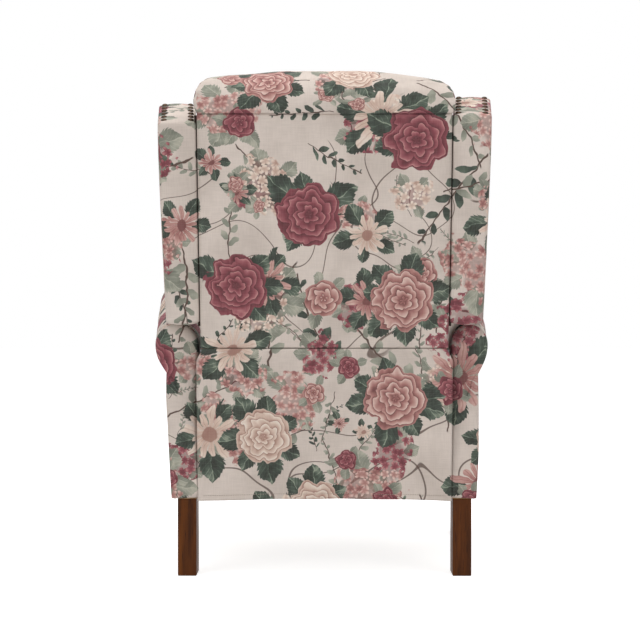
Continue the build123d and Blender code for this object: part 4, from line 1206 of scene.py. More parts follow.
@dataclass
class Cushion:
    """A stuffed piece that starts as its solid and is blown up as cloth."""

    rack: FinishRack
    node: str
    body: str
    name: str
    chart: Callable[[Vector, Vector], Pair]
    hold: Hold
    voxel: float
    cap: float
    fill: float
    shrink: Tuple[float, float, float]
    shape: Optional[Hold] = None
    draw_in: float = 0.004
    pressure: float = 4.0
    stiffness: float = 12.0
    bending: float = 0.6
    steps: int = 20
    seams: Sequence[Tuple[Vector, Vector]] = ()
    seam_radius: float = 0.0014
    seam_reach: float = 0.003
    seam_pitch: float = 0.008

    def start_shape(self) -> bpy.types.Object:
        """Copy the solid, merge it, draw it in a little and remesh it evenly.

        Returns:
            The even start shape.
        """
        bm = bmesh.new()
        bm.from_mesh(frame["nodes"][self.node].data)
        bmesh.ops.remove_doubles(bm, verts=bm.verts, dist=MERGE_GAP)
        low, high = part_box(self.node)
        middle = (Vector(low) + Vector(high)) / 2
        spread = Matrix.Diagonal(Vector(self.shrink)).to_4x4()
        bmesh.ops.transform(
            bm, matrix=Matrix.Translation(middle) @ spread @ Matrix.Translation(-middle), verts=bm.verts
        )
        piece = make_piece(bm, self.name, self.rack.materials[Slot.UPHOLSTERY])
        even = piece.modifiers.new("even", "REMESH")
        even.mode = "VOXEL"
        even.voxel_size = self.voxel
        remeshed = evaluated_mesh(piece)
        piece.modifiers.clear()
        piece.data = remeshed
        return piece

    def blow_up(self, piece: bpy.types.Object) -> List[Vector]:
        """Let the cover swell under its filling.

        Args:
            piece: the start shape.

        Returns:
            Where each point comes to rest.
        """
        cover = piece.modifiers.new("cover", "CLOTH")
        cover.settings.use_pressure = True
        cover.settings.uniform_pressure_force = self.pressure
        cover.settings.effector_weights.gravity = 0.0
        cover.settings.quality = 4
        cover.settings.tension_stiffness = self.stiffness
        cover.settings.compression_stiffness = self.stiffness
        cover.settings.bending_stiffness = self.bending
        cover.collision_settings.use_collision = False
        scene = bpy.context.scene
        for step in range(self.steps):
            scene.frame_set(1 + step)
        swollen = evaluated_mesh(piece)
        rest = [vert.co.copy() for vert in swollen.vertices]
        piece.modifiers.clear()
        scene.frame_set(1)
        bpy.data.meshes.remove(swollen)
        return rest

    def lay_chart(self, mesh: bpy.types.Mesh) -> None:
        """Lay the cloth's places over the cushion."""
        layer = mesh.uv_layers.new(name=CHART_NAME)
        for face in mesh.polygons:
            for corner in face.loop_indices:
                spot = mesh.vertices[mesh.loops[corner].vertex_index].co
                layer.data[corner].uv = self.chart(spot, face.normal)

    def seam(self, piece: bpy.types.Object, spot: Vector, across: Vector, index: int) -> None:
        """Run a sewn seam round the cushion where a plane cuts it.

        Args:
            piece: the finished cushion.
            spot: a point of the plane.
            across: the plane's normal.
            index: number of the seam.
        """
        bm = bmesh.new()
        bm.from_mesh(piece.data)
        bmesh.ops.bisect_plane(
            bm, geom=list(bm.verts) + list(bm.edges) + list(bm.faces),
            plane_co=spot, plane_no=across, clear_inner=True, clear_outer=True,
        )
        track = Track(longest_loop(bm))
        bm.free()
        tube = bmesh.new()

        def place(u: float, v: float) -> Vector:
            """Point of the seam's cord."""
            run = v * track.length
            ahead = (track.at(run + self.seam_reach) - track.at(run - self.seam_reach)).normalized()
            turn = u * math.tau
            side = ahead.cross(across)
            return track.at(run) + (side * math.cos(turn) + across * math.sin(turn)) * self.seam_radius

        count = max(24, int(track.length / self.seam_pitch))
        lay_grid(tube, 6, count, place, lambda u, v, mu, mv: (0.01 * u, track.length * v))
        close_shell(tube)
        ring = make_piece(tube, f"{self.name}_seam_{index}", self.rack.thread)
        settle(ring, self.body, [], Slot.UPHOLSTERY)

    def build(self) -> None:
        """Make the cushion, its seams and its place on the chair."""
        piece = self.start_shape()
        starts = [(vert.co.copy(), vert.normal.copy()) for vert in piece.data.vertices]
        for vert, (start, away), rest in zip(piece.data.vertices, starts, self.blow_up(piece)):
            move = rest - start
            swell = move.dot(away)
            slip = move - away * swell
            if slip.length > self.draw_in:
                slip *= self.draw_in / slip.length
            spot = start + slip + away * max(-self.draw_in, min(self.cap, swell))
            vert.co = self.shape(spot) if self.shape else self.hold(spot)
        bm = bmesh.new()
        bm.from_mesh(piece.data)
        bmesh.ops.smooth_vert(bm, verts=bm.verts, factor=0.5, use_axis_x=True, use_axis_y=True, use_axis_z=True)
        for vert in bm.verts:
            vert.co = self.hold(vert.co)
        bm.to_mesh(piece.data)
        bm.free()
        piece.data.shade_smooth()
        piece.data.materials.clear()
        piece.data.materials.append(self.rack.materials[Slot.UPHOLSTERY])
        self.lay_chart(piece.data)
        soften(piece)
        settle(piece, self.body, [self.node], Slot.UPHOLSTERY)
        for index, (spot, across) in enumerate(self.seams):
            self.seam(piece, spot, across, index)


@dataclass
class Stuffing:
    """The seat, back and footrest cushions and the roll on top of the back."""

    rack: FinishRack
    seat_top: float = 0.49
    seat_half: float = 0.2642
    back_half: float = 0.2585
    head_middle: Pair = (-0.066, 0.505)
    head_round: float = 0.08
    head_top: float = 0.5785
    head_step: float = -0.0545
    head_crown: float = 0.0032
    pleat_depth: float = 0.0017
    foot_low: Tuple[float, float, float] = (-0.2605, -0.426, 0.1785)
    foot_high: Tuple[float, float, float] = (0.2605, -0.3602, 0.4325)

    def seat_chart(self, spot: Vector, away: Vector) -> Pair:
        """Wrap the print over the seat's nose and sides."""
        fall = self.seat_top - spot.z
        if abs(away.x) > SIDE_FACING:
            return (spot.x + math.copysign(fall, spot.x) + 0.31, spot.y + 0.17)
        return (spot.x + 0.31, spot.y - fall + 0.17)

    def seat_hold(self, spot: Vector) -> Vector:
        """Keep the seat clear of arms, deck, back and footrest."""
        rear = 0.19 - 0.25 * max(0.0, spot.z - 0.47)
        return keep_in(spot, (-self.seat_half, -0.347, 0.4032), (self.seat_half, rear, 0.518))

    def back_chart(self, spot: Vector, away: Vector) -> Pair:
        """Wrap the print round the back cushion's sides."""
        flat = BACK.local(spot)
        depth = flat.y + 0.14
        if abs(away.x) > SIDE_FACING:
            return (flat.x + math.copysign(depth, flat.x) + 0.47, flat.z + 0.29)
        return (flat.x + 0.47, flat.z + 0.29 + math.copysign(depth, flat.z - 0.2) * ease(0.5, 0.9, abs(away.z)))

    def back_hold(self, spot: Vector) -> Vector:
        """Keep the back cushion off the webbing, wings, seat and head roll."""
        flat = BACK.local(spot)
        half = self.back_half - 0.0005
        front = -0.16 + 0.032 * ease(0.03, -0.04, flat.z)
        return BACK.point(*keep_in(flat, (-half, front, -0.0405), (half, -0.0555, 0.4285)))

    def head_chart(self, spot: Vector, away: Vector) -> Pair:
        """Roll the print over the head roll, going on from the outer back, and lay it flat on the ends."""
        flat = BACK.local(spot)
        if abs(away.x) > SIDE_FACING:
            return (math.copysign(flat.y, flat.x) + 0.66, flat.z)
        turn = math.atan2(flat.z - self.head_middle[1], flat.y - self.head_middle[0])
        if turn < math.radians(-100):
            turn += math.tau
        return (flat.x, 0.477 + self.head_round * (turn + math.radians(23)))

    def head_hold(self, spot: Vector) -> Vector:
        """Keep the head roll between the wings and let its ends swell above them."""
        flat = BACK.local(spot)
        free = ease(0.466, 0.492, flat.z + 0.06 * max(0.0, -flat.y))
        half = self.back_half - 0.0008 + 0.0075 * free
        rear = 0.0045 if flat.z > 0.4795 else self.head_step
        low = 0.4715 if flat.y > self.head_step else 0.4295
        return BACK.point(*keep_in(flat, (-half, -0.157, low), (half, rear, self.head_top)))

    def head_shape(self, spot: Vector) -> Vector:
        """Crown the head roll, lift one end a little and gather the cloth at both ends.

        Args:
            spot: point of the blown-up roll.

        Returns:
            Where it goes.
        """
        flat = BACK.local(spot)
        free = ease(0.476, 0.51, flat.z)
        end = ease(0.13, 0.245, abs(flat.x))
        crown = self.head_crown * ease(0.18, 0.06, abs(flat.x))
        lift = ((0.0018 + math.copysign(0.0032, flat.x)) * end + crown) * ease(0.5, 0.55, flat.z)
        fan = math.atan2(flat.z - self.head_middle[1], flat.y - self.head_middle[0])
        gather = self.pleat_depth * ease(0.205, 0.25, abs(flat.x)) * free
        pleat = gather * math.sin(17.0 * fan + 2.0 * math.sin(5.0 * fan))
        along, up = math.cos(fan) * pleat, math.sin(fan) * pleat
        return self.head_hold(BACK.point(flat.x * (1.0 + 0.03 * free * end), flat.y + along, flat.z + lift + up))

    def foot_chart(self, spot: Vector, away: Vector) -> Pair:
        """Lay the print upright on the footrest's face."""
        depth = spot.y + 0.41
        if abs(away.x) > SIDE_FACING:
            return (spot.x + math.copysign(depth, spot.x) + 0.83, spot.z + 0.61)
        return (spot.x + 0.83, spot.z + 0.61 + math.copysign(depth, spot.z - 0.3) * ease(0.5, 0.9, abs(away.z)))

    def foot_hold(self, spot: Vector) -> Vector:
        """Keep the footrest between the arms and in front of its board."""
        return keep_in(spot, self.foot_low, self.foot_high)

    def build(self) -> None:
        """Stuff the cushions in turn."""
        Cushion(
            self.rack, "seat_cushion", "seat", "seat_cushion_cover", self.seat_chart, self.seat_hold,
            voxel=0.008, cap=0.014, fill=0.75, shrink=(1.0, 0.985, 0.93),
            seams=((Vector((0, 0, 0.4555)), Vector((0, 0, 1))),),
        ).build()
        Cushion(
            self.rack, "back_cushion", "back", "back_cushion_cover", self.back_chart, self.back_hold,
            voxel=0.008, cap=0.014, fill=0.75, shrink=(1.0, 0.94, 0.98),
            seams=((BACK.point(0, -0.112, 0.2), BACK.point(0, 1, 0) - BACK.point(0, 0, 0)),),
        ).build()
        Cushion(
            self.rack, "head_roll", "back", "head_roll_cover", self.head_chart, self.head_hold,
            voxel=0.006, cap=0.007, fill=0.85, shrink=(1.0, 1.0, 1.0), draw_in=0.0015,
            shape=self.head_shape,
        ).build()
        Cushion(
            self.rack, "footrest_pad", "footrest", "footrest_cover", self.foot_chart, self.foot_hold,
            voxel=0.007, cap=0.01, fill=0.8, shrink=(1.0, 0.94, 0.985),
            seams=((Vector((0, -0.378, 0)), Vector((0, 1, 0))),),
        ).build()


@dataclass
class SeatBorder:
    """The cloth strip drawn over the seat's front rail, below the cushion."""

    rack: FinishRack
    half: float = 0.2262
    front: float = -0.3431
    top: float = 0.4012
    bottom: float = 0.3435
    tuck: float = 0.012
    thick: float = 0.0014

    def place(self, u: float, v: float) -> Vector:
        """Point of the strip, which turns in under the rail.

        Args:
            u: share across.
            v: share from the tucked edge to the top.

        Returns:
            The point.
        """
        x = self.half * (2 * u - 1)
        run = (self.tuck + self.top - self.bottom) * v
        pull = 0.0004 * ripple(Vector((x, run, 0)), 25.0, 6.0)
        if run < self.tuck:
            return Vector((x, self.front + self.tuck - run, self.bottom))
        return Vector((x, self.front + pull, self.bottom + run - self.tuck))

    def build(self) -> None:
        """Draw the strip over the rail."""
        length = self.tuck + self.top - self.bottom
        border = sew_sheet(
            "seat_front_border", (60, 14), self.place,
            lambda u, v, mu, mv: (self.half * (2 * u - 1) + 0.31, length * v - 0.33),
            Vector((0, -0.3, 0.39)), self.rack.materials[Slot.UPHOLSTERY], self.thick,
        )
        2 * self.half
        settle(border, "seat", [], Slot.UPHOLSTERY)


@dataclass
class Wing:
    """A padded wing beside the sitter's head, with two nail rows on its band."""

    rack: FinishRack
    sign: int
    root: float = 0.2602
    setback: float = -0.007
    flare: float = math.radians(5)
    thick: float = 0.0776
    taper: float = 0.009
    rounding: float = 0.005
    bottom: float = 0.051
    middle: Pair = (0.098, 0.30)
    face_share: float = 0.3
    edge_share: float = 0.08
    chart_shifts: Pair = (0.37, 0.9)
    nail_start: float = 0.016
    nail_end: float = 0.166
    nail_pitch: float = 0.0335
    nail_rows: Tuple[float, ...] = (0.0105, 0.0645)
    nail_radius: float = 0.0066
    top_rear: float = 0.476
    top_front: float = 0.502
    uneven: float = 0.007

    def __post_init__(self) -> None:
        """Draw the outline, the two wings stuffed to slightly uneven heights."""
        rise = -self.sign * self.uneven
        self.rear_run = self.top_rear + rise - self.bottom
        outline = Outline((
            (0.0, self.bottom, 0.006), (0.0, self.top_rear + rise, 0.003),
            (0.243, self.top_front + rise, 0.054), (0.24, 0.33, 0.17),
            (0.14, 0.15, 0.13), (0.136, self.bottom, 0.012),
        ))
        self.track = Track(outline.points())
        self.band_share = self.face_share + self.edge_share

    def point(self, out: float, fwd: float, up: float) -> Vector:
        """Place a point of the wing: out from its inner face, forward and up."""
        c, s = math.cos(self.flare), math.sin(self.flare)
        x = self.root + out * c + fwd * s
        return BACK.point(self.sign * x, self.setback + out * s - fwd * c, up)

    def width(self, up: float) -> float:
        """Thickness of the wing at a height, drawn in toward the bottom."""
        return self.thick - self.taper * ease(0.5, self.bottom - 0.1, up)

    def bulge(self, fwd: float, share: float, outer: bool) -> float:
        """Swell of a broad face: the inner one only in front of the back cushion."""
        swell = 1.0 - share**2.6
        return 0.0025 * swell if outer else 0.006 * swell * ease(0.15, 0.21, fwd)

    def rim(self, run: float, inset: float) -> Vector:
        """Point of the outline drawn in by an inset."""
        return self.track.at(run) - self.track.outward(run) * inset

    def section(self, q: float, run: float) -> Tuple[float, float, float]:
        """Point of the closed wing in its own frame.

        Args:
            q: share from the inner face's middle over the band to the outer face's middle.
            run: running length round the outline.

        Returns:
            Distance out, forward and up.
        """
        r = self.rounding
        rim = self.rim(run, r)
        wide = self.width(rim.y)
        near, outer = min(q, 1.0 - q), q > 0.5
        if near < self.face_share:
            share = 1.0 - (1.0 - near / self.face_share) ** 1.7
            spot = Vector(self.middle).lerp(rim, share)
            swell = self.bulge(spot.x, share, outer)
            return (self.width(spot.y) + swell if outer else -swell), spot.x, spot.y
        if near < self.band_share:
            angle = (near - self.face_share) / self.edge_share * math.pi / 2
            spot = self.rim(run, r - r * math.sin(angle))
            depth = r - r * math.cos(angle)
            return (wide - depth if outer else depth), spot.x, spot.y
        share = (q - self.band_share) / (1.0 - 2 * self.band_share)
        groove = 0.0014 * (1 - ease(0.0, 0.035, min(share, 1 - share)))
        crown = 0.0035 * (1.0 - (2 * share - 1) ** 2)
        soft = 0.001 * ripple(Vector((run * 14, share * 0.7, self.sign)), 1.0, 5.0)
        spot = self.rim(run, groove - crown - soft)
        return r + (wide - 2 * r) * share, spot.x, spot.y

    def chart(self, u: float, v: float, mu: float, mv: float) -> Pair:
        """Cut the cover from an inner, an outer and a band piece.

        Args:
            u: share over the section at a corner.
            v: share round the outline at a corner.
            mu: the same at the face's middle.
            mv: the same at the face's middle.

        Returns:
            Place on the cloth in metres.
        """
        out, fwd, up = self.section(u, v * self.track.length)
        if min(mu, 1.0 - mu) >= self.face_share:
            quarter = self.rounding * math.pi / 2
            if u < self.band_share:
                out = self.rounding - quarter * (self.band_share - u) / self.edge_share
            elif u > 1.0 - self.band_share:
                out += quarter * (u - 1.0 + self.band_share) / self.edge_share
            return (self.sign * (self.root + out), v * self.track.length + self.bottom)
        shift = self.chart_shifts[mu > 0.5]
        return (self.sign * fwd + shift, up + shift)

    def build(self) -> None:
        """Sew the wing and drive its nails."""
        bm = bmesh.new()
        lay_grid(
            bm, 50, 168, lambda u, v: self.point(*self.section(u, v * self.track.length)), self.chart
        )
        close_shell(bm)
        name = side_name(self.sign)
        cover = make_piece(bm, f"wing_cover_{name}", self.rack.materials[Slot.UPHOLSTERY])
        settle(cover, "back", [f"wing_pad_{name}", f"wing_rear_panel_{name}"], Slot.UPHOLSTERY)
        self.drive_nails(name)

    def nail_runs(self) -> List[float]:
        """Running lengths of the nails, along the top and down the front edge."""
        start = self.rear_run + self.nail_start
        end = self.track.length - self.nail_end
        count = round((end - start) / self.nail_pitch)
        return [start + (end - start) * index / count for index in range(count + 1)]

    def drive_nails(self, name: str) -> None:
        """Set the two rows of domed nails.

        Args:
            name: the wing's side.
        """
        bm = bmesh.new()
        for run in self.nail_runs():
            spot, away = self.track.at(run), self.track.outward(run)
            for out in self.nail_rows:
                foot = self.point(out, spot.x + away.x * 0.0012, spot.y + away.y * 0.0012)
                tip = self.point(out, spot.x + away.x * 0.01, spot.y + away.y * 0.01)
                drive_nail(bm, foot, tip - foot, self.nail_radius)
        nails = make_piece(bm, f"wing_nails_{name}", self.rack.nail_bronze)
        settle(nails, "back", [], Slot.BRIGHT)


def drive_nail(bm: bmesh.types.BMesh, foot: Vector, away: Vector, radius: float) -> None:
    """Add one domed nail head.

    Args:
        bm: mesh of the row.
        foot: middle of its underside.
        away: direction that it faces.
        radius: its radius.
    """
    turn = away.to_track_quat("Z", "Y").to_matrix().to_4x4()
    flat = Matrix.Diagonal((1.0, 1.0, NAIL_FLATNESS, 1.0))
    bmesh.ops.create_uvsphere(
        bm, u_segments=12, v_segments=8, radius=radius, matrix=Matrix.Translation(foot) @ turn @ flat
    )


@dataclass(frozen=True)
class ArmEnd:
    """The padded panel that closes one end of an arm, swollen round the middle of its outline."""

    name: str
    node: str
    facing: float
    swell: float
    inset: float
    middle: Pair
    chart_shift: float
    fill: float


@dataclass
class Arm:
    """A rolled arm with its skirted side, its front scroll and its soft rear end."""

    rack: FinishRack
    sign: int
    inside: float = 0.266
    floor: float = 0.165
    skirt: float = 0.398
    front: float = -0.379
    rear: float = 0.266
    rolls: Pair = (0.070, 0.043)
    roll_heights: Pair = (0.572, 0.493)
    sides: Pair = (0.372, 0.330)
    feet: Pair = (0.366, 0.323)
    drop: float = 1.25
    puff: float = 0.003
    thick: float = 0.009
    cuts: Tuple[float, ...] = (0.0, 0.36, 0.5, 0.86, 1.0)
    end_thick: float = 0.004
    end_round: float = 0.03
    scroll: ArmEnd = ArmEnd("arm_front_scroll", "arm_facing", -1.0, 0.0105, 0.002, (0.306, 0.40), 0.4, 0.6)
    rear_end: ArmEnd = ArmEnd("arm_rear_end", "arm_rear_facing", 1.0, 0.0125, 0.0008, (0.297, 0.38), 0.0, 0.7)
    nail_pitch: float = 0.031
    nail_inset: float = 0.009
    nail_radius: float = 0.0045
    nail_stand: float = 0.0068
    uneven: float = 0.0075

    def stuffed(self, x: float, z: float) -> float:
        """Distance from the middle plane, the two arms stuffed slightly unevenly."""
        share = max(0.0, x - self.inside) / 0.1
        return x + self.sign * self.uneven * share * (0.3 + 0.7 * ease(0.22, 0.42, z))

    def at(self, ends: Pair, y: float) -> float:
        """Value at depth y on a straight run from front to rear."""
        share = (self.rear - y) / (self.rear - self.front)
        return ends[1] + (ends[0] - ends[1]) * share

    def profile(self, u: float, y: float) -> Pair:
        """Point of the arm's outside: up the side, over the roll and down the inside.

        Args:
            u: share along the profile.
            y: depth.

        Returns:
            Distance from the middle plane, and height.
        """
        radius, high = self.at(self.rolls, y), self.at(self.roll_heights, y)
        side, foot = self.at(self.sides, y), self.at(self.feet, y)
        centre = self.inside + radius
        neck = math.acos((side - centre) / radius)
        sag = self.drop * radius / math.sin(neck)
        _, low, mid, top, _ = self.cuts
        if u <= low:
            share = u / low
            x = foot + (side - foot) * share + self.puff * math.sin(math.pi * share) ** 0.8
            z = self.floor + (high - sag * math.sin(neck) - self.floor) * share
        elif u <= mid:
            angle = neck * (mid - u) / (mid - low)
            x, z = centre + radius * math.cos(angle), high - sag * math.sin(angle)
        elif u <= top:
            angle = math.pi * (u - mid) / (top - mid)
            x, z = centre + radius * math.cos(angle), high + radius * math.sin(angle)
        else:
            x, z = self.inside, high + (self.skirt - high) * (u - top) / (1.0 - top)
        return self.stuffed(x, z), z

    def place(self, u: float, v: float) -> Vector:
        """Point of the arm's cover.

        Args:
            u: share along the profile.
            v: share from rear to front.

        Returns:
            The point.
        """
        y = self.rear + (self.front - self.rear) * v
        x, z = self.profile(u, y)
        soft = 0.0014 * ripple(Vector((x, y, z)), 9.0, 1.0 + self.sign)
        if u > self.cuts[3]:
            soft = 0.0
        near = min(y - self.front, self.rear - y)
        tuck = edge_drop(near, 0.008) * (0.8 if u < self.cuts[3] else 0.2)
        centre = self.inside + self.at(self.rolls, y)
        inward = Vector((centre - x, 0, self.at(self.roll_heights, y) - z))
        if u < self.cuts[1]:
            inward = Vector((-1, 0, 0))
        shift = inward.normalized() * (tuck - soft)
        return Vector((self.sign * (x + shift.x), y, z + shift.z))

    def chart(self, u: float, v: float, mu: float, mv: float) -> Pair:
        """Wrap the print round the arm, upright on its side."""
        marks = (0.0, 0.3, 0.37, 0.56, 0.68)
        for low, high, first, last in zip(self.cuts, self.cuts[1:], marks, marks[1:]):
            if u <= high:
                up = first + (last - first) * (u - low) / (high - low)
                break
        return (self.sign * 0.645 * v + 0.53, up + 0.2 * self.sign)

    def rim(self, y: float, inset: float) -> Track:
        """Outline of one end of the arm, drawn in by an inset.

        Args:
            y: depth of the end.
            inset: how far it is drawn in.

        Returns:
            The closed outline, in distance and height.
        """
        shares = [index / 72 for index in range(73)]
        loop = [Vector(self.profile(share, y)) for share in shares]
        loop += [Vector((self.inside, self.floor + 0.002))]
        middle = Vector((self.inside + 0.035, 0.36))
        return Track([spot + (middle - spot).normalized() * inset for spot in loop])

    def close_end(self, end: ArmEnd, y: float) -> None:
        """Sew the panel over one end of the arm.

        Args:
            end: the panel.
            y: depth of the end.
        """
        track = self.rim(y, end.inset)
        heart = Vector(end.middle)

        def spot(q: float, run: float) -> Tuple[Vector, float]:
            """Flat place and swell at a share from the middle."""
            share = 1.0 - (1.0 - q) ** 2.0
            flat = heart.lerp(track.at(run), share)
            soft = 1.0 + 0.22 * ripple(Vector((flat.x, flat.y, self.sign)), 15.0, y)
            gap = (1.0 - share) * (track.at(run) - heart).length
            return flat, end.swell * math.sqrt(1.0 - (1.0 - min(1.0, gap / self.end_round)) ** 2) * soft

        def place(u: float, v: float) -> Vector:
            """Point of the swollen panel."""
            flat, lift = spot(u, v * track.length)
            return Vector((self.sign * flat.x, y + end.facing * (lift + 0.0004), flat.y))

        def chart(u: float, v: float, mu: float, mv: float) -> Pair:
            """Keep the print upright on the panel."""
            flat, _ = spot(u, v * track.length)
            return (self.sign * flat.x + end.chart_shift, flat.y - 0.49)

        name = side_name(self.sign)
        panel = sew_sheet(
            f"{end.name}_{name}", (16, 150), place, chart,
            Vector((self.sign * heart.x, y - end.facing * 0.2, heart.y)),
            self.rack.materials[Slot.UPHOLSTERY], self.end_thick,
        )
        settle(panel, "frame", [f"{end.node}_{name}"], Slot.UPHOLSTERY)

    def trim_front(self) -> None:
        """Drive a row of nails round the front scroll."""
        track = self.rim(self.front, self.nail_inset)
        bm = bmesh.new()
        count = round(track.length / self.nail_pitch)
        for index in range(count):
            spot = track.at(track.length * index / count)
            if spot.y > self.floor + 0.02:
                foot = Vector((self.sign * spot.x, self.front - self.nail_stand, spot.y))
                drive_nail(bm, foot, Vector((0, -1, 0)), self.nail_radius)
        nails = make_piece(bm, f"arm_nails_{side_name(self.sign)}", self.rack.nail_bronze)
        settle(nails, "frame", [], Slot.BRIGHT)

    def build(self) -> None:
        """Cover the arm and close its ends."""
        name = side_name(self.sign)
        cover = sew_sheet(
            f"arm_cover_{name}", (96, 74), self.place, self.chart,
            Vector((self.sign * (self.inside + 0.03), -0.05, 0.4)),
            self.rack.materials[Slot.UPHOLSTERY], self.thick,
        )
        settle(cover, "frame", [f"arm_pad_{name}"], Slot.UPHOLSTERY)
        self.close_end(self.scroll, self.front)
        self.close_end(self.rear_end, self.rear)
        self.trim_front()


@dataclass
class RearFlap:
    """The loose cloth below the back, sewn to its lower edge and hooked to the rear rail."""

    rack: FinishRack
    foot_y: float = 0.277
    foot_z: float = 0.1622
    head_y: float = 0.314
    head_z: float = 0.486
    half_foot: float = 0.268
    half_head: float = 0.254
    corner: float = 0.026
    hem_rise: float = 0.0045
    hem: float = 0.013
    thick: float = 0.0016
    stitch: float = 0.0048
    stitch_size: Tuple[float, float, float] = (0.0034, 0.0007, 0.0006)
    blend_run: float = 0.26

    def __post_init__(self) -> None:
        """Work out the sheet's slope."""
        slope = Vector((0, self.head_y - self.foot_y, self.head_z - self.foot_z))
        self.run = slope.length
        self.up = slope.normalized()
        self.out = Vector((0, self.up.z, -self.up.y))

    def half(self, rise: float) -> float:
        """Half width at a height along the sheet."""
        cut = max(0.0, rise - (self.run - self.corner)) / self.corner
        return self.half_foot + (self.half_head - self.half_foot) * cut

    def spot(self, x: float, rise: float) -> Vector:
        """Point of the hanging cloth.

        Args:
            x: distance across.
            rise: height along the sheet.

        Returns:
            The point.
        """
        low = ease(self.run, 0.0, rise)
        side = self.half(rise) - abs(x)
        fold = 0.0022 * math.sin(31.0 * x + 2.0 * math.sin(9.0 * x)) * low
        soft = 0.0018 * ripple(Vector((x, rise, 0)), 7.0, 4.0)
        hem = 0.0009 * ease(self.hem + 0.001, self.hem - 0.001, rise) + 0.0007 * ease(0.011, 0.009, side)
        curl = -0.0015 * ease(0.012, 0.0, side)
        shift = fold + soft + hem + curl + 0.001
        return Vector((x, self.foot_y, self.foot_z)) + self.up * rise + self.out * shift

    def lift(self, x: float) -> float:
        """Height of the hem, which curves up in the middle."""
        return self.hem_rise * (1.0 - (x / self.half_foot) ** 2)

    def place(self, u: float, v: float) -> Vector:
        """Point of the sheet for shares across and up."""
        x = self.half_foot * (2 * u - 1)
        rise = self.lift(x) + (self.run - 0.001 - self.lift(x)) * v
        return self.spot(x * self.half(rise) / self.half_foot, rise)

    def build(self) -> None:
        """Cut, hem and hang the flap."""
        flap = sew_sheet(
            "rear_flap_cloth", (110, 84), self.place,
            lambda u, v, mu, mv: (self.half_foot * (2 * u - 1), self.run * (v - 1) - 0.004),
            Vector((0, 0, 0.3)), self.rack.materials[Slot.UPHOLSTERY], self.thick,
        )
        stitches = self.sew()
        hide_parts("rear_flap")
        for piece in (flap, stitches):
            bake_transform(piece)
        LOG.info("%s: %d faces between frame and back", flap.name, len(flap.data.polygons))

    def sew(self) -> bpy.types.Object:
        """Run the hem's stitches along the foot of the flap.

        Returns:
            The stitches.
        """
        bm = bmesh.new()
        count = int(2 * (self.half_foot - 0.01) / self.stitch)
        for index in range(count):
            x = (index - (count - 1) / 2) * self.stitch
            rise = self.lift(x) + self.hem - 0.002
            here, there = self.spot(x, rise), self.spot(x + 0.001, rise)
            turn = Matrix((there - here, self.up, self.out)).transposed()
            for axis in range(3):
                turn.col[axis] = turn.col[axis].normalized()
            bmesh.ops.create_cube(
                bm, size=1.0,
                matrix=Matrix.Translation(here + self.out * 0.0001)
                @ turn.to_4x4() @ Matrix.Diagonal((*self.stitch_size, 1.0)),
            )
        return make_piece(bm, "flap_hem_stitches", self.rack.thread)


@dataclass
class Woodwork:
    """The solids that keep their own shape: legs, frame, springs and mechanism."""

    rack: FinishRack

    def dress(self) -> None:
        """Give every carried-over solid the finish of its slot."""
        for subpart in frame["record"]["subparts"]:
            solid = frame["nodes"][subpart["node"]]
            slot = Slot(subpart["material_slot"])
            if slot is Slot.UPHOLSTERY:
                continue
            solid.data.materials.clear()
            solid.data.materials.append(self.rack.materials[slot])
            LOG.info("%s keeps its solid in %s", solid.name, slot.value)


@dataclass(frozen=True)
class Lamp:
    """A soft square lamp: its place, the side of its face and its power in watts."""

    name: str
    place: Tuple[float, float, float]
    size: float
    power: float


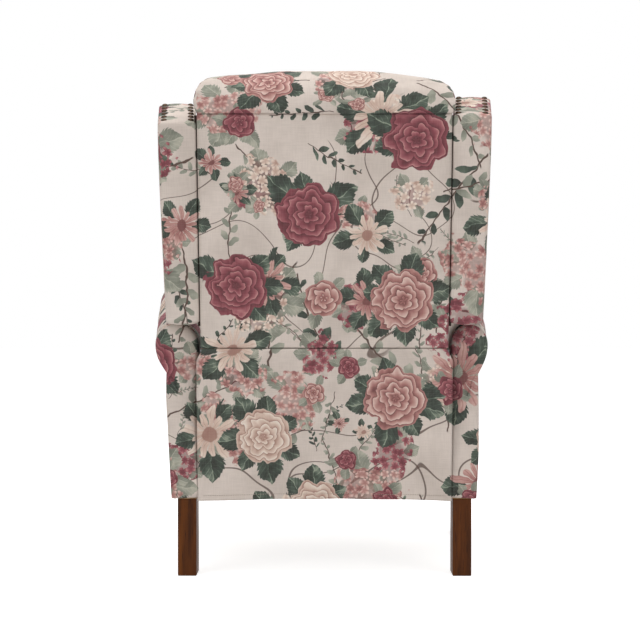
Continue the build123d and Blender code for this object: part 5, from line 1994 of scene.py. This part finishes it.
@dataclass
class Studio:
    """White floor, soft lamps and the camera behind the chair."""

    camera_place: Tuple[float, float, float] = (0.0, 3.475, 0.591)
    yaw: float = 0.0030
    pitch: float = -0.0146
    lens: float = 85.3
    sensor: float = 36.0
    lamps: Tuple[Lamp, ...] = (
        Lamp("overhead", (0.2, 0.5, 3.4), 2.6, 62.0),
        Lamp("behind_left", (2.6, 3.0, 1.7), 2.2, 29.0),
        Lamp("behind_right", (-2.4, 3.2, 1.5), 2.2, 26.0),
        Lamp("front", (-0.8, -3.4, 1.9), 2.4, 34.0),
    )
    lit: Tuple[float, float, float] = (0.0, 0.05, 0.55)
    room_light: float = 0.39
    floor_grey: float = 0.86
    floor_glow: float = 0.76
    floor_size: float = 14.0

    def hang(self, lamp: Lamp) -> None:
        """Hang one lamp and point it at the chair.

        Args:
            lamp: the lamp.
        """
        light = bpy.data.lights.new(lamp.name, "AREA")
        light.size = lamp.size
        light.energy = lamp.power
        holder = bpy.data.objects.new(lamp.name, light)
        holder.location = lamp.place
        toward = Vector(self.lit) - Vector(lamp.place)
        holder.rotation_euler = toward.to_track_quat("-Z", "Y").to_euler()
        bpy.context.scene.collection.objects.link(holder)

    def seen_rays(self, desk: NodeDesk) -> Field:
        """One for the rays that show the background: camera, glossy and see-through ones."""
        path = desk.node("ShaderNodeLightPath").outputs
        seen = desk.math("MAXIMUM", Field(desk, path["Is Camera Ray"]), Field(desk, path["Is Glossy Ray"]))
        return desk.math("MAXIMUM", seen, Field(desk, path["Is Transmission Ray"]))

    def white_room(self) -> None:
        """Make the white surroundings and the soft light that they give."""
        world = bpy.data.worlds.new("studio")
        world.use_nodes = True
        bpy.context.scene.world = world
        desk = NodeDesk(world.node_tree)
        ground = world.node_tree.nodes["Background"]
        ground.inputs["Color"].default_value = (1.0, 1.0, 1.0, 1.0)
        desk.feed(ground.inputs["Strength"], self.seen_rays(desk) * (1.0 - self.room_light) + self.room_light)

    def white_floor(self) -> None:
        """Lay the floor, white but for the chair's shadow."""
        bm = bmesh.new()
        bmesh.ops.create_grid(bm, x_segments=1, y_segments=1, size=self.floor_size)
        surface = bpy.data.materials.new("studio_floor")
        surface.use_nodes = True
        desk = NodeDesk(surface.node_tree)
        shader = surface.node_tree.nodes["Principled BSDF"]
        shader.inputs["Base Color"].default_value = (self.floor_grey, self.floor_grey, self.floor_grey, 1.0)
        shader.inputs["Roughness"].default_value = 0.9
        shader.inputs["Specular IOR Level"].default_value = 0.0
        shader.inputs["Emission Color"].default_value = (1.0, 1.0, 1.0, 1.0)
        desk.feed(shader.inputs["Emission Strength"], self.seen_rays(desk) * self.floor_glow)
        make_piece(bm, "studio_floor", surface)

    def set_camera(self) -> None:
        """Put the camera straight behind the chair."""
        data = bpy.data.cameras.new("camera")
        data.lens = self.lens
        data.sensor_width = self.sensor
        holder = bpy.data.objects.new("camera", data)
        look = Matrix.Rotation(math.pi, 4, "Z") @ Matrix.Rotation(math.pi / 2, 4, "X")
        aim = Matrix.Rotation(self.yaw, 4, "Z") @ look @ Matrix.Rotation(self.pitch, 4, "X")
        holder.matrix_world = Matrix.Translation(self.camera_place) @ aim
        bpy.context.scene.collection.objects.link(holder)
        bpy.context.scene.camera = holder

    def build(self) -> None:
        """Set up floor, lamps, surroundings and camera."""
        bpy.context.scene.view_settings.view_transform = "Standard"
        self.white_room()
        self.white_floor()
        for lamp in self.lamps:
            self.hang(lamp)
        self.set_camera()


def main() -> None:
    """Build the chair round its frame, sub-assembly by sub-assembly."""
    logging.basicConfig(level=logging.INFO, format="%(name)s: %(message)s")
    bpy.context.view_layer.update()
    rack = FinishRack()
    Woodwork(rack).dress()
    OuterBack(rack).build()
    # Dark strips of painted shade in the gaps beside the outer back.
    GapShadeStrip(rack).build()
    Stuffing(rack).build()
    SeatBorder(rack).build()
    for sign in SIDES:
        Wing(rack, sign).build()
        Arm(rack, sign).build()
    RearFlap(rack).build()
    Studio().build()


if __name__ == "__main__":
    main()
